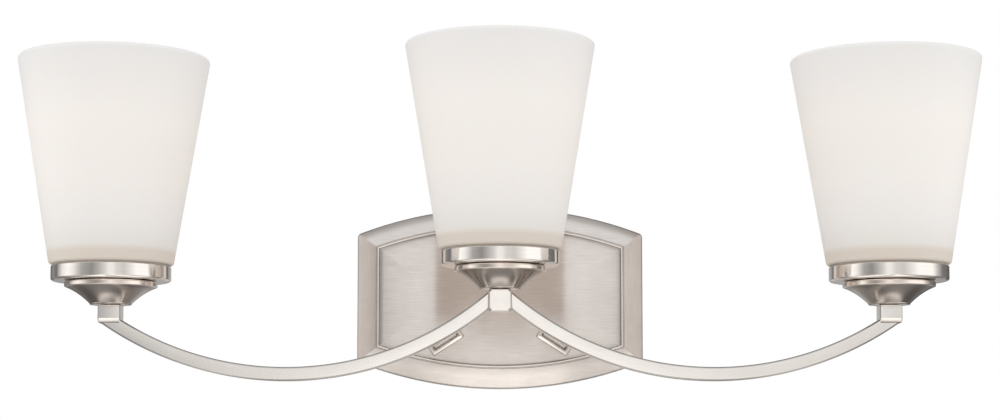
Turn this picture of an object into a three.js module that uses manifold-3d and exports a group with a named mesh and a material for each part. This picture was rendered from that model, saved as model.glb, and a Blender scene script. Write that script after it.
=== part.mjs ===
// Three-light vanity bar: a stamped backplate, two swept arms on posts, and three upward shades.
// Millimetres, +X along the bar, +Z up. The wall is the plane y = 0 and the light stands out along -Y.
// The origin is at the middle of the backplate, on the back face of its mounting strap.

import * as THREE from "three";
import { mergeVertices, toCreasedNormals } from "three/addons/utils/BufferGeometryUtils.js";
import Module from "manifold-3d";

const wasm = await Module();
wasm.setup();

// Layout of the whole light
const lampSpacing = 222.25;
const lampReach = 107;
const centreLampBase = -2.4;
const sideLampDrop = 9;

// Gaps and clearances
const seatGap = 0.3;
const slideGap = 0.3;
const overrun = 2;
const weldTolerance = 0.0005;

// Where a rounding's middle point lies, as a share of its size
const roundShare = 0.3;
const crownShare = 0.7;

// Backplate, a stamped sheet pan
const plateWidth = 175.2;
const plateHeight = 111.4;
const plateArcRadius = 241;
const plateCorner = 3;
const plateSheet = 1.2;
const wallDepth = 12;
const edgeRound = 1.1;
const bevelWidth = 12.2;
const bevelRise = 8;
const crestWidth = 1.9;
const crestHeight = 0.9;
const crestSlope = 0.45;

// Mounting strap and its screws
const strapWidth = 25;
const strapSheet = 2.3;
const strapBend = 2;
const tabDepth = 9.5;
const tabGap = 0.6;
const boxScrewNear = 69.85;
const boxScrewFar = 88.9;
const boxSlotRadius = 2.4;
const groundScrewRise = 7.4;
const groundScrewRadius = 2.1;
const groundHeadRadius = 4.6;
const groundHeadHeight = 2.6;
const canopyScrewRadius = 2.4;
const canopyScrewLength = 9.4;
const canopyScrewDepth = 6;
const driveSlot = 0.9;
const driveDepth = 1.2;

// Posts, their collars and the screws behind the panel
const postPlace = 33.8;
const postRise = 1.8;
const postTilt = THREE.MathUtils.degToRad(33);
const postWidth = 15.6;
const postThickness = 4.4;
const postCorner = 0.8;
const collarWidth = 22;
const collarThickness = 10;
const collarHeight = 3;
const collarBevel = 1.9;
const collarCorner = 0.9;
const postScrewRadius = 1.4;
const postScrewBite = 10;
const postHeadRadius = 3.4;
const postHeadHeight = 2.2;
const postWasherRadius = 4.6;
const postWasherSheet = 0.8;

// Arms, centre block and stems
const armSize = 7.94;
const armArcRadius = 180.6;
const armEdge = 0.5;
const armEndRound = 4.2;
const blockSize = 12.7;
const blockEdge = 0.5;
const blockCorner = 1.1;
const stemFace = 8;
const stemFoot = 2.5;
const armSeat = 9.2;

// Neck, a flared casting with a step ring
const neckFootRadius = 11.9;
const neckFlare = 9.9;
const neckWall = 1.7;
const stepRingRadius = 26.3;
const stepRingHeight = 3.1;
const stepRingRound = 0.6;
const neckPullRadius = 18.5;
const neckPullHeight = 7.2;

// Cup, shallow and spun, with a vertical band
const cupRadius = 34;
const cupHeight = 8.4;
const cupSheet = 1.2;
const cupBend = 1.5;

// Nipple and locknut
const nippleRadius = 4.85;
const nippleBore = 3.7;
const nippleBite = 4;
const nippleRise = 9.5;
const locknutAcross = 13.5;
const locknutHeight = 2.2;

// Socket for a medium-base lamp
const socketRadius = 18.5;
const socketHubRadius = 9;
const socketHubHeight = 5.6;
const socketThreadRadius = 19.9;
const socketThreadHeight = 15;
const socketHeight = 45;
const socketFloor = 5.2;
const socketBore = 14.4;
const shellRadius = 14.1;
const shellSheet = 0.5;
const shellFoot = 2.4;
const shellBelow = 1.6;
const contactWidth = 7;
const contactLength = 11;
const contactSheet = 0.6;
const contactLift = 1.5;

// Shade of etched opal glass
const shadeHeight = 127.4;
const shadeRimRadius = 54.6;
const shadeShoulderRadius = 35.3;
const shadeFootRadius = 32.2;
const shadeFootHeight = 7.6;
const shadeShoulderRise = 0.9;
const shadeInnerRise = 3.8;
const shadeWall = 4;
const shadeFootBevel = 1.2;

// Threaded ring that clamps the shade
const ringRadius = 27;
const ringLipHeight = 2.4;
const ringHubRadius = 23.6;
const ringHubHeight = 6.3;

// Lamp with a screw cap
const bulbRadius = 30;
const bulbLength = 108;
const bulbCapRadius = 13;
const bulbCapLength = 27.5;
const bulbCapTip = 4.2;
const bulbCapTaper = 4;
const bulbNeckRadius = 14.5;
const bulbWall = 1;

// Facets
const roundSides = 28;
const innerSides = 16;
const screwSides = 12;
const arcSteps = 12;
const armSteps = 20;
const cornerSteps = 3;
const curveSteps = 5;

// Heights in a lamp, from the underside of its neck
const neckTop = neckFlare + stepRingHeight;
const cupBase = neckTop + seatGap;
const cupFloor = cupBase + cupSheet;
const cupRim = cupBase + cupHeight;
const shadeBase = cupFloor + seatGap;
const shadeFloor = shadeBase + shadeWall;
const shadeRim = shadeBase + shadeHeight;
const ringBase = shadeFloor + seatGap;
const socketShoulder = shadeBase;
const locknutBase = neckWall + seatGap;
const socketBase = locknutBase + locknutHeight + seatGap;
const socketTop = socketBase + socketHeight;
const socketWell = socketBase + socketFloor + nippleRise;
const contactBase = socketWell + seatGap;
const contactTop = contactBase + contactSheet + contactLift + contactSheet;
const bulbBase = contactTop + seatGap;
const bulbTop = bulbBase + bulbLength;
const socketHole = nippleRadius + slideGap;

// Depths of the backplate, from the wall
const panelDepth = wallDepth + bevelRise;
const panelBack = panelDepth - plateSheet;
const postBack = panelDepth + seatGap;
const postFront = lampReach - armSize / 2 - seatGap;
const postHole = postScrewRadius + slideGap;

// Arc that both arms follow, drawn for the right arm through the block and the side lamp's stem
const sideLampBase = centreLampBase - sideLampDrop;
const blockMiddle = centreLampBase - seatGap - blockSize / 2;
const armInner = new THREE.Vector2(blockSize / 2, blockMiddle);
const armOuter = new THREE.Vector2(lampSpacing, sideLampBase - armSeat);
const armChord = armOuter.clone().sub(armInner);
const armRise = Math.sqrt(armArcRadius ** 2 - armChord.lengthSq() / 4);
const armCentre = armInner
  .clone()
  .add(armOuter)
  .multiplyScalar(1 / 2)
  .add(new THREE.Vector2(-armChord.y, armChord.x).setLength(armRise));

// Middle of each post, a little above the arm's middle line
const postHeight = armHeight(postPlace) + postRise;

// Finishes
const satinNickel = finish(0xcbc6bd, 0.32, 1);
const brushedNickel = finish(0xbdb5ae, 0.38, 1);
const polishedNickel = finish(0xb9aea3, 0.16, 1);
const zincSteel = finish(0xa7abb0, 0.45, 1);
const brass = finish(0xc2a25a, 0.35, 1);
const greenSteel = finish(0x2f7d46, 0.4, 0.6);
const opalGlass = finish(0xf3ece4, 0.45, 0);
const phenolic = finish(0x26231f, 0.5, 0);
const alloyCap = finish(0xb9bbbd, 0.35, 1);
const frostedGlass = finish(0xf4f1ea, 0.6, 0);

function finish(color, roughness, metalness) {
  return new THREE.MeshStandardMaterial({ color, roughness, metalness });
}

// A geometry as a solid for joining and cutting.
function solidOf(geometry) {
  const bare = geometry.clone();
  bare.deleteAttribute("normal");
  bare.deleteAttribute("uv");
  const merged = mergeVertices(bare, weldTolerance);
  const mesh = new wasm.Mesh({
    numProp: 3,
    vertProperties: merged.attributes.position.array,
    triVerts: Uint32Array.from(merged.index.array),
  });
  return new wasm.Manifold(mesh);
}

function geometryOf(solid) {
  const mesh = solid.getMesh();
  const geometry = new THREE.BufferGeometry();
  geometry.setAttribute("position", new THREE.BufferAttribute(mesh.vertProperties, 3));
  geometry.setIndex(new THREE.BufferAttribute(mesh.triVerts, 1));
  return geometry;
}

// The first geometry with the others cut out of it.
function cut(geometry, ...tools) {
  return geometryOf(tools.reduce((body, tool) => body.subtract(solidOf(tool)), solidOf(geometry)));
}

function piece(name, geometry, material) {
  const mesh = new THREE.Mesh(toCreasedNormals(geometry, Math.PI / 6), material);
  mesh.name = name;
  return mesh;
}

// A body turned about Z from a profile of [radius, height] pairs, anticlockwise round its section.
function turned(profile, sides) {
  const points = profile.map(([radius, height]) => new THREE.Vector2(radius, height));
  return new THREE.LatheGeometry(points, sides).rotateX(Math.PI / 2);
}

// Profile points on an arc about a middle, from the outward direction through an angle.
function arcAround(middleRadius, middleHeight, radius, through, steps) {
  const points = [];
  for (let step = 0; step <= steps; step += 1) {
    const angle = (through * step) / steps;
    points.push([middleRadius + radius * Math.cos(angle), middleHeight + radius * Math.sin(angle)]);
  }
  return points;
}

// A washer, tube or disc between two heights: a bore of zero makes it solid.
function turnedRing(bore, radius, low, high, sides) {
  const outside = [[bore, low], [radius, low], [radius, high], [bore, high]];
  return turned(bore > 0 ? [...outside, [bore, low]] : outside, sides);
}

// A rod along Z between two heights.
function rod(radius, low, high, sides) {
  return turnedRing(0, radius, low, high, sides);
}

// Bodies drawn in the X-Z plane and given thickness along Y, centred on y = 0.
function standing(points, thickness, edge) {
  const geometry = new THREE.ExtrudeGeometry(new THREE.Shape(points), {
    depth: thickness - 2 * edge,
    bevelEnabled: edge > 0,
    bevelThickness: edge,
    bevelSize: edge,
    bevelOffset: -edge,
    bevelSegments: 1,
    steps: 1,
  });
  return geometry.translate(0, 0, edge - thickness / 2).rotateX(Math.PI / 2);
}

// Bodies drawn in the Y-Z plane and given width along X, centred on x = 0.
function sideways(points, width, edge) {
  return standing(points, width, edge).rotateZ(Math.PI / 2);
}

// A rectangle with round corners about its middle, anticlockwise from its right side.
function rectangle(width, height, corner) {
  const points = [];
  const quarters = [[1, 1], [-1, 1], [-1, -1], [1, -1]];
  quarters.forEach(([sx, sz], quarter) => {
    for (let step = 0; step <= cornerSteps; step += 1) {
      const angle = ((quarter + step / cornerSteps) * Math.PI) / 2;
      const x = sx * (width / 2 - corner) + corner * Math.cos(angle);
      const z = sz * (height / 2 - corner) + corner * Math.sin(angle);
      points.push(new THREE.Vector2(x, z));
    }
  });
  return points;
}

// An outline in the X-Z plane, set forward of the wall by a depth.
function ringAt(points, depth) {
  return points.map((p) => new THREE.Vector3(p.x, -depth, p.y));
}

// A closed skin through equal rings of points. The ends are closed with a fan, or meet each other.
function loft(rings, ends) {
  const count = rings[0].length;
  const positions = rings.flat();
  const faces = [];
  const last = rings.length - 1;
  for (let row = 0; row < (ends === "meet" ? rings.length : last); row += 1) {
    const low = row * count;
    const high = ((row + 1) % rings.length) * count;
    for (let k = 0; k < count; k += 1) {
      const next = (k + 1) % count;
      faces.push(low + k, low + next, high + next, low + k, high + next, high + k);
    }
  }
  if (ends !== "meet") {
    const start = positions.push(middleOf(rings[0])) - 1;
    const finale = positions.push(middleOf(rings[last])) - 1;
    for (let k = 0; k < count; k += 1) {
      const next = (k + 1) % count;
      faces.push(start, next, k, finale, last * count + k, last * count + next);
    }
  }
  const geometry = new THREE.BufferGeometry().setFromPoints(positions);
  geometry.setIndex(faces);
  return geometry;
}

function middleOf(ring) {
  const sum = ring.reduce((total, point) => total.add(point), new THREE.Vector3());
  return sum.divideScalar(ring.length);
}

// Outline of the backplate drawn in by an inset: straight sides, arched top and bottom, round corners.
function plateOutline(inset, corner) {
  const half = plateWidth / 2 - inset;
  const arcRadius = plateArcRadius - inset;
  const arcCentre = plateHeight / 2 - plateArcRadius;
  const cornerX = half - corner;
  const cornerZ = arcCentre + Math.sqrt((arcRadius - corner) ** 2 - cornerX ** 2);
  const meet = Math.atan2(cornerZ - arcCentre, cornerX);
  const quarter = [];
  for (let step = 0; step <= cornerSteps; step += 1) {
    const angle = (meet * step) / cornerSteps;
    const x = cornerX + corner * Math.cos(angle);
    quarter.push(new THREE.Vector2(x, cornerZ + corner * Math.sin(angle)));
  }
  for (let step = 1; step < arcSteps / 2; step += 1) {
    const angle = meet + ((Math.PI / 2 - meet) * step) / (arcSteps / 2);
    quarter.push(new THREE.Vector2(arcRadius * Math.cos(angle), arcCentre + arcRadius * Math.sin(angle)));
  }
  const top = [...quarter, new THREE.Vector2(0, arcCentre + arcRadius), ...mirrored(quarter, -1, 1)];
  return [...top, ...mirrored(top, 1, -1)];
}

// The same points in reverse order, mirrored in X or Z.
function mirrored(points, signX, signZ) {
  return points.map((p) => new THREE.Vector2(signX * p.x, signZ * p.y)).reverse();
}

// The stamped pan: side wall, rounded edge, mitred bevel, raised crest and flat panel in one sheet.
function backplate() {
  const slope = bevelRise / bevelWidth;
  const sheetAcross = plateSheet * Math.hypot(1, slope);
  const crestFoot = bevelWidth + crestWidth;
  const innerBevel = (bevelRise - plateSheet + sheetAcross) / slope;
  const innerEdge = wallDepth + plateSheet * slope - sheetAcross;
  const innerCorner = plateCorner - plateSheet;
  const skin = [
    [innerBevel, panelBack, innerCorner],
    [plateSheet, innerEdge, innerCorner],
    [plateSheet, 0, innerCorner],
    [0, 0, plateCorner],
    [0, wallDepth - edgeRound, plateCorner],
    [edgeRound * roundShare, wallDepth + (slope - 1) * edgeRound * roundShare, plateCorner],
    [edgeRound, wallDepth + slope * edgeRound, plateCorner],
    [bevelWidth, panelDepth, innerCorner],
    [bevelWidth + crestSlope, panelDepth + crestHeight, innerCorner],
    [crestFoot - crestSlope, panelDepth + crestHeight, innerCorner],
    [crestFoot, panelDepth, innerCorner],
  ];
  const rings = skin.map(([inset, depth, corner]) => ringAt(plateOutline(inset, corner), depth));
  const holes = [-1, 1].map((side) => postHoleTool(side));
  const wallHole = rod(canopyScrewRadius + slideGap, -plateWidth, plateWidth, screwSides)
    .rotateY(Math.PI / 2)
    .translate(0, -canopyScrewDepth, 0);
  return cut(loft(rings, "closed"), ...holes, wallHole);
}

// Height of the arm's middle line at a place along the bar.
function armHeight(place) {
  return armCentre.y - Math.sqrt(armArcRadius ** 2 - (place - armCentre.x) ** 2);
}

// A rod along Y where a post stands, from one depth to another.
function postRod(side, radius, nearWall, nearRoom, sides) {
  return rod(radius, nearWall, nearRoom, sides)
    .rotateX(Math.PI / 2)
    .translate(side * postPlace, 0, postHeight);
}

function postHoleTool(side) {
  return postRod(side, postHole, panelBack - overrun, postBack + postScrewBite + overrun, screwSides);
}

// Points on one of the arm's edges, from one place along the bar to another.
function armEdgePoints(radius, from, to) {
  const first = -Math.acos((from - armCentre.x) / radius);
  const last = -Math.acos((to - armCentre.x) / radius);
  const points = [];
  for (let step = 0; step <= armSteps; step += 1) {
    const angle = first + ((last - first) * step) / armSteps;
    points.push(new THREE.Vector2(radius * Math.cos(angle), radius * Math.sin(angle)).add(armCentre));
  }
  return points;
}

// Front outline of the right arm, grown by a clearance where it is a tool for the stem.
function armOutline(grow) {
  const inner = blockSize / 2 + seatGap - grow;
  const outer = lampSpacing + blockSize / 2 + grow;
  const topRadius = armArcRadius - armSize / 2 - grow;
  const bottomRadius = armArcRadius + armSize / 2 + grow;
  const top = armEdgePoints(topRadius, inner, outer);
  const bottom = armEdgePoints(bottomRadius, outer - armEndRound, inner);
  const corner = armEdgePoints(bottomRadius, outer, inner)[0];
  const side = new THREE.Vector2(corner.x, corner.y + armEndRound);
  const round = new THREE.QuadraticBezierCurve(side, corner, bottom[0]).getPoints(curveSteps);
  return [...top, ...round, ...bottom.slice(1)];
}

function onSide(points, side) {
  return points.map((p) => new THREE.Vector2(side * p.x, p.y));
}

// A square bar bent to an arc, notched at its end for the lamp's nipple and flat under the neck.
function arm(side) {
  const bar = standing(onSide(armOutline(0), side), armSize, armEdge);
  const notch = rod(socketHole, sideLampBase - nippleBite - 2 * seatGap, sideLampBase, innerSides)
    .translate(side * lampSpacing, 0, 0);
  const flat = rod(blockSize, sideLampBase - seatGap, sideLampBase + blockSize, innerSides)
    .translate(side * lampSpacing, 0, 0);
  return cut(bar, notch, flat);
}

// A square block with a chamfered foot that straddles the arm's end.
function stem(side) {
  const half = blockSize / 2;
  const top = sideLampBase - seatGap;
  const foot = sideLampBase - stemFace;
  const outline = [
    new THREE.Vector2(-half, top),
    new THREE.Vector2(-half, foot),
    new THREE.Vector2(-armSize / 2, foot - stemFoot),
    new THREE.Vector2(armSize / 2, foot - stemFoot),
    new THREE.Vector2(half, foot),
    new THREE.Vector2(half, top),
  ];
  const body = sideways(outline, blockSize, blockEdge).translate(side * lampSpacing, 0, 0);
  const saddle = standing(onSide(armOutline(seatGap), side), armSize + 2 * seatGap, 0);
  const hole = rod(socketHole, foot - overrun, top + overrun, innerSides)
    .translate(side * lampSpacing, 0, 0);
  return cut(body, saddle, hole);
}

// The block under the centre lamp, drilled for the nipple.
function centreBlock() {
  const top = centreLampBase - seatGap;
  const body = standing(rectangle(blockSize, blockSize, blockCorner), blockSize, blockEdge)
    .translate(0, 0, blockMiddle);
  return cut(body, rod(socketHole, top - nippleBite - seatGap, top + overrun, innerSides));
}

function post(side) {
  const length = postFront - postBack;
  const bar = standing(rectangle(postWidth, postThickness, postCorner), length, 0)
    .rotateY(side * postTilt)
    .translate(side * postPlace, -(postBack + postFront) / 2, postHeight);
  return cut(bar, postHoleTool(side));
}

// A bevelled rectangular collar that hides where the post meets the panel.
function collar(side) {
  const top = postBack + collarHeight;
  const hole = rectangle(postWidth + 2 * slideGap, postThickness + 2 * slideGap, postCorner);
  const foot = rectangle(collarWidth, collarThickness, collarCorner);
  const face = rectangle(collarWidth - 2 * collarBevel, collarThickness - 2 * collarBevel, collarCorner);
  const rings = [
    ringAt(foot, postBack),
    ringAt(foot, postBack + collarHeight - collarBevel),
    ringAt(face, top),
    ringAt(hole, top),
    ringAt(hole, postBack),
  ];
  return loft(rings, "meet")
    .rotateY(side * postTilt)
    .translate(side * postPlace, 0, postHeight);
}

// A pan-head screw from behind the panel into the post.
function postScrew(side) {
  const seat = panelBack - 2 * seatGap - postWasherSheet;
  const crown = seat - postHeadHeight;
  const profile = [
    [0, crown],
    [postHeadRadius * crownShare, crown],
    [postHeadRadius, crown + postHeadHeight / 2],
    [postHeadRadius, seat],
    [postScrewRadius, seat],
    [postScrewRadius, postBack + postScrewBite],
    [0, postBack + postScrewBite],
  ];
  return turned(profile, screwSides)
    .rotateX(Math.PI / 2)
    .translate(side * postPlace, 0, postHeight);
}

function postWasher(side) {
  const high = panelBack - seatGap;
  return turnedRing(postHole, postWasherRadius, high - postWasherSheet, high, innerSides)
    .rotateX(Math.PI / 2)
    .translate(side * postPlace, 0, postHeight);
}

// Flat strap with two bent tabs that reach the side walls, slotted for the wall box's screws.
function mountingStrap() {
  const half = plateWidth / 2 - plateSheet - tabGap;
  const inner = half - strapSheet;
  const outline = [
    ...bendPoints(half - strapSheet - strapBend, strapSheet + strapBend, -strapSheet - strapBend),
    new THREE.Vector2(half, -tabDepth),
    new THREE.Vector2(inner, -tabDepth),
    ...bendPoints(inner - strapBend, strapBend, -strapSheet - strapBend).reverse(),
  ];
  const bothEnds = [...outline, ...mirrored(outline, -1, 1)];
  const body = standing(bothEnds, strapWidth, 0).rotateX(-Math.PI / 2);
  const slots = [-1, 1].map((side) => boxSlot(side));
  const tapped = rod(canopyScrewRadius + slideGap, -plateWidth, plateWidth, screwSides)
    .rotateY(Math.PI / 2)
    .translate(0, -canopyScrewDepth, 0);
  const ground = rod(groundScrewRadius + slideGap, -overrun, strapSheet + overrun, screwSides)
    .rotateX(Math.PI / 2)
    .translate(0, 0, groundScrewRise);
  return cut(body, ...slots, tapped, ground);
}

// A quarter bend of the strap, from the flat to the tab, in X and Y.
function bendPoints(x, radius, y) {
  const points = [];
  for (let step = 0; step <= cornerSteps; step += 1) {
    const angle = (Math.PI / 2) * (1 - step / cornerSteps);
    points.push(new THREE.Vector2(x + radius * Math.cos(angle), y + radius * Math.sin(angle)));
  }
  return points;
}

function boxSlot(side) {
  const middle = (boxScrewNear + boxScrewFar) / 4;
  const length = (boxScrewFar - boxScrewNear) / 2 + 2 * boxSlotRadius;
  const tool = rectangle(length, 2 * boxSlotRadius, boxSlotRadius);
  return standing(tool, 2 * (strapSheet + overrun), 0).translate(side * middle, 0, 0);
}

function groundScrew() {
  const seat = strapSheet + seatGap;
  const head = seat + groundHeadHeight;
  const body = turned([
    [0, seatGap],
    [groundScrewRadius, seatGap],
    [groundScrewRadius, seat],
    [groundHeadRadius, seat],
    [groundHeadRadius, head],
    [0, head],
  ], innerSides);
  const slot = new THREE.BoxGeometry(2 * groundHeadRadius + overrun, driveSlot, driveDepth)
    .translate(0, 0, head);
  return cut(body, slot).rotateX(Math.PI / 2).translate(0, 0, groundScrewRise);
}

// Headless set screw through the side wall into the strap's tab.
function canopyScrew(side) {
  const body = rod(canopyScrewRadius, -canopyScrewLength, 0, screwSides);
  const slot = new THREE.BoxGeometry(2 * canopyScrewRadius + overrun, driveSlot, 2 * driveDepth);
  return cut(body, slot)
    .rotateY((side * Math.PI) / 2)
    .translate((side * plateWidth) / 2, -canopyScrewDepth, 0);
}

// Flared casting, hollow, with a step ring round its mouth.
function neck() {
  const outside = new THREE.QuadraticBezierCurve(
    new THREE.Vector2(neckFootRadius, 0),
    new THREE.Vector2(neckPullRadius, neckPullHeight),
    new THREE.Vector2(stepRingRadius - stepRingRound, neckFlare),
  ).getPoints(curveSteps);
  const inside = new THREE.QuadraticBezierCurve(
    new THREE.Vector2(stepRingRadius - neckWall, neckTop),
    new THREE.Vector2(neckPullRadius - neckWall, neckPullHeight + neckWall),
    new THREE.Vector2(neckFootRadius - neckWall, neckWall),
  ).getPoints(curveSteps - 3);
  return turned([
    [socketHole, 0],
    ...outside.map((p) => [p.x, p.y]),
    [stepRingRadius, neckFlare + stepRingRound],
    [stepRingRadius, neckTop],
    ...inside.map((p) => [p.x, p.y]),
    [socketHole, neckWall],
    [socketHole, 0],
  ], roundSides);
}

function cup() {
  const inside = cupRadius - cupSheet;
  const bore = socketRadius + 2 * slideGap;
  return turned([
    [bore, cupBase],
    [cupRadius - cupBend, cupBase],
    [cupRadius - cupBend * roundShare, cupBase + cupBend * roundShare],
    [cupRadius, cupBase + cupBend],
    [cupRadius, cupRim],
    [inside, cupRim],
    [inside, cupFloor],
    [bore, cupFloor],
    [bore, cupBase],
  ], roundSides);
}

// Threaded tube from the stem or block up into the socket.
function nipple() {
  return turnedRing(nippleBore, nippleRadius, -nippleBite, socketBase + nippleRise, innerSides);
}

function locknut() {
  const points = [];
  for (let corner = 0; corner < 6; corner += 1) {
    const angle = (corner * Math.PI) / 3;
    const radius = locknutAcross / Math.sqrt(3);
    points.push(new THREE.Vector2(radius * Math.cos(angle), radius * Math.sin(angle)));
  }
  const body = standing(points, locknutHeight, 0)
    .rotateX(-Math.PI / 2)
    .translate(0, 0, locknutBase + locknutHeight / 2);
  return cut(body, rod(socketHole, 0, socketBase, innerSides));
}

// Moulded socket body: a threaded collar that bears on the cup, and a well for the screw shell.
function socket() {
  return turned([
    [socketHole, socketBase],
    [socketHubRadius, socketBase],
    [socketHubRadius, socketBase + socketHubHeight],
    [socketRadius, socketBase + socketHubHeight],
    [socketRadius, socketShoulder],
    [socketThreadRadius, socketShoulder],
    [socketThreadRadius, socketShoulder + socketThreadHeight],
    [socketRadius, socketShoulder + socketThreadHeight],
    [socketRadius, socketTop],
    [socketBore, socketTop],
    [socketBore, socketWell],
    [socketHole, socketWell],
    [socketHole, socketBase],
  ], innerSides);
}

function screwShell() {
  const foot = socketWell + shellFoot;
  return turnedRing(shellRadius - shellSheet, shellRadius, foot, socketTop - shellBelow, innerSides);
}

// Spring tongue that bends up from the floor of the socket to the bulb's tip.
function centreContact() {
  const half = contactLength / 2;
  const high = contactTop - contactSheet;
  return sideways([
    new THREE.Vector2(-half, contactBase),
    new THREE.Vector2(half, contactBase),
    new THREE.Vector2(half, contactTop),
    new THREE.Vector2(-half / 2, contactTop),
    new THREE.Vector2(-half / 2, high),
    new THREE.Vector2(half - contactSheet, high),
    new THREE.Vector2(half - contactSheet, contactBase + contactSheet),
    new THREE.Vector2(-half, contactBase + contactSheet),
  ], contactWidth, 0);
}

function shadeRing() {
  const bore = socketThreadRadius + slideGap;
  return turned([
    [bore, ringBase],
    [ringRadius, ringBase],
    [ringRadius, ringBase + ringLipHeight],
    [ringHubRadius, ringBase + ringLipHeight],
    [ringHubRadius, ringBase + ringHubHeight],
    [bore, ringBase + ringHubHeight],
    [bore, ringBase],
  ], innerSides);
}

// Straight cone of thick glass with a tight shoulder over the cup's rim, a foot inside the cup and a round lip.
function shade() {
  const bore = socketThreadRadius + 2 * slideGap;
  const lip = shadeWall / 2;
  const foot = shadeBase + shadeFootHeight;
  const shoulder = foot + shadeShoulderRise;
  const taper = (shadeRimRadius - shadeShoulderRadius) / (shadeRim - shoulder);
  const innerRadius = shadeShoulderRadius + taper * shadeInnerRise - shadeWall;
  const lipPoints = arcAround(shadeRimRadius - lip, shadeRim - lip, lip, Math.PI, curveSteps - 1);
  const turnUnder = new THREE.QuadraticBezierCurve(
    new THREE.Vector2(shadeFootRadius, foot),
    new THREE.Vector2(shadeShoulderRadius - lip / 4, foot + lip / 4),
    new THREE.Vector2(shadeShoulderRadius, shoulder),
  ).getPoints(curveSteps - 2);
  return turned([
    [bore, shadeBase],
    [shadeFootRadius - shadeFootBevel, shadeBase],
    [shadeFootRadius, shadeBase + shadeFootBevel],
    ...turnUnder.map((p) => [p.x, p.y]),
    ...lipPoints,
    [innerRadius, shoulder + shadeInnerRise],
    [shadeFootRadius - shadeWall, foot - shadeShoulderRise],
    [shadeFootRadius - shadeWall, shadeFloor],
    [bore, shadeFloor],
    [bore, shadeBase],
  ], roundSides);
}

function bulbCap() {
  const top = bulbBase + bulbCapLength;
  return turned([
    [0, bulbBase],
    [bulbCapTip, bulbBase],
    [bulbCapTip, bulbBase + contactSheet],
    [bulbCapRadius, bulbBase + bulbCapTaper],
    [bulbCapRadius, top],
    [0, top],
  ], innerSides);
}

// Pear-shaped glass: a round crown that draws in along a curve to the cap.
function bulbGlass() {
  const inside = bulbSection(bulbWall).reverse();
  return turned([...inside, ...bulbSection(0)], innerSides);
}

// Half section of the bulb from its open neck to its crown, drawn in by an inset.
function bulbSection(inset) {
  const low = bulbBase + bulbCapLength + seatGap;
  const middle = bulbTop - bulbRadius;
  const radius = bulbRadius - inset;
  const neckRadius = bulbNeckRadius - inset;
  const flank = new THREE.CubicBezierCurve(
    new THREE.Vector2(neckRadius, low),
    new THREE.Vector2(neckRadius, low + bulbRadius / 2),
    new THREE.Vector2(radius, middle - bulbRadius),
    new THREE.Vector2(radius, middle),
  ).getPoints(curveSteps - 1);
  const crown = arcAround(0, middle, radius, Math.PI / 2, curveSteps - 2).slice(1, -1);
  return [...flank.map((p) => [p.x, p.y]), ...crown, [0, middle + radius]];
}

// One lamp with all its pieces, standing on the origin of its own group.
function lamp(side) {
  const group = new THREE.Group();
  group.add(
    piece(`neck_${side}`, neck(), polishedNickel),
    piece(`cup_${side}`, cup(), polishedNickel),
    piece(`nipple_${side}`, nipple(), zincSteel),
    piece(`locknut_${side}`, locknut(), brass),
    piece(`socket_${side}`, socket(), phenolic),
    piece(`screw_shell_${side}`, screwShell(), alloyCap),
    piece(`centre_contact_${side}`, centreContact(), brass),
    piece(`shade_ring_${side}`, shadeRing(), phenolic),
    piece(`shade_${side}`, shade(), opalGlass),
    piece(`bulb_cap_${side}`, bulbCap(), alloyCap),
    piece(`bulb_glass_${side}`, bulbGlass(), frostedGlass),
  );
  return group;
}

// What is fixed to the wall.
function wallGroup() {
  const group = new THREE.Group();
  group.add(piece("backplate", backplate(), brushedNickel));
  group.add(piece("mounting_strap", mountingStrap(), zincSteel));
  group.add(piece("ground_screw", groundScrew(), greenSteel));
  for (const [side, sign] of [["left", -1], ["right", 1]]) {
    group.add(
      piece(`canopy_screw_${side}`, canopyScrew(sign), zincSteel),
      piece(`post_${side}`, post(sign), polishedNickel),
      piece(`collar_${side}`, collar(sign), polishedNickel),
      piece(`post_screw_${side}`, postScrew(sign), zincSteel),
      piece(`post_washer_${side}`, postWasher(sign), zincSteel),
    );
  }
  return group;
}

// The arms, block and stems lie in the plane of the lamps' middles.
function armGroup() {
  const group = new THREE.Group();
  group.add(piece("centre_block", centreBlock(), satinNickel));
  for (const [side, sign] of [["left", -1], ["right", 1]]) {
    group.add(
      piece(`arm_${side}`, arm(sign), satinNickel),
      piece(`stem_${side}`, stem(sign), satinNickel),
    );
  }
  group.position.set(0, -lampReach, 0);
  return group;
}

const vanityLight = new THREE.Group();
vanityLight.add(wallGroup(), armGroup());
const lampPlaces = [
  ["left", -lampSpacing, sideLampBase],
  ["centre", 0, centreLampBase],
  ["right", lampSpacing, sideLampBase],
];
for (const [side, place, base] of lampPlaces) {
  const group = lamp(side);
  group.position.set(place, -lampReach, base);
  vanityLight.add(group);
}

export default vanityLight;
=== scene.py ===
import bpy
import numpy as np
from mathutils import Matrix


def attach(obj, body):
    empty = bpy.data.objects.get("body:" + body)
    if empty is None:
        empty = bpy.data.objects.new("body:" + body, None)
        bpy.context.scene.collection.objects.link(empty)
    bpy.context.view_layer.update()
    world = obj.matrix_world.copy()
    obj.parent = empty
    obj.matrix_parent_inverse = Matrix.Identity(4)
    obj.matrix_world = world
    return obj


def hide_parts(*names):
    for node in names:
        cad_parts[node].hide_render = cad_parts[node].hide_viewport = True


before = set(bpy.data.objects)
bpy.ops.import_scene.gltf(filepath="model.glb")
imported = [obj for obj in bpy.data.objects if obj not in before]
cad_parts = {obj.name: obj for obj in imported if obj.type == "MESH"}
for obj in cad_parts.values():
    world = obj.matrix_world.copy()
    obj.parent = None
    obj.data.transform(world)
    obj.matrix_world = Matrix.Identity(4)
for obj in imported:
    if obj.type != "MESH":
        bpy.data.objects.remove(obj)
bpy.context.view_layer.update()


# Backplate: the stamped pan that covers the wall box, pressed from 1.2 mm steel sheet, nickel plated
# and open towards the wall. The panel and the upper and lower bevels are brushed from side to side
# and the side bevels upright, so the mitred corners and the thin crest catch the light.

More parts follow.
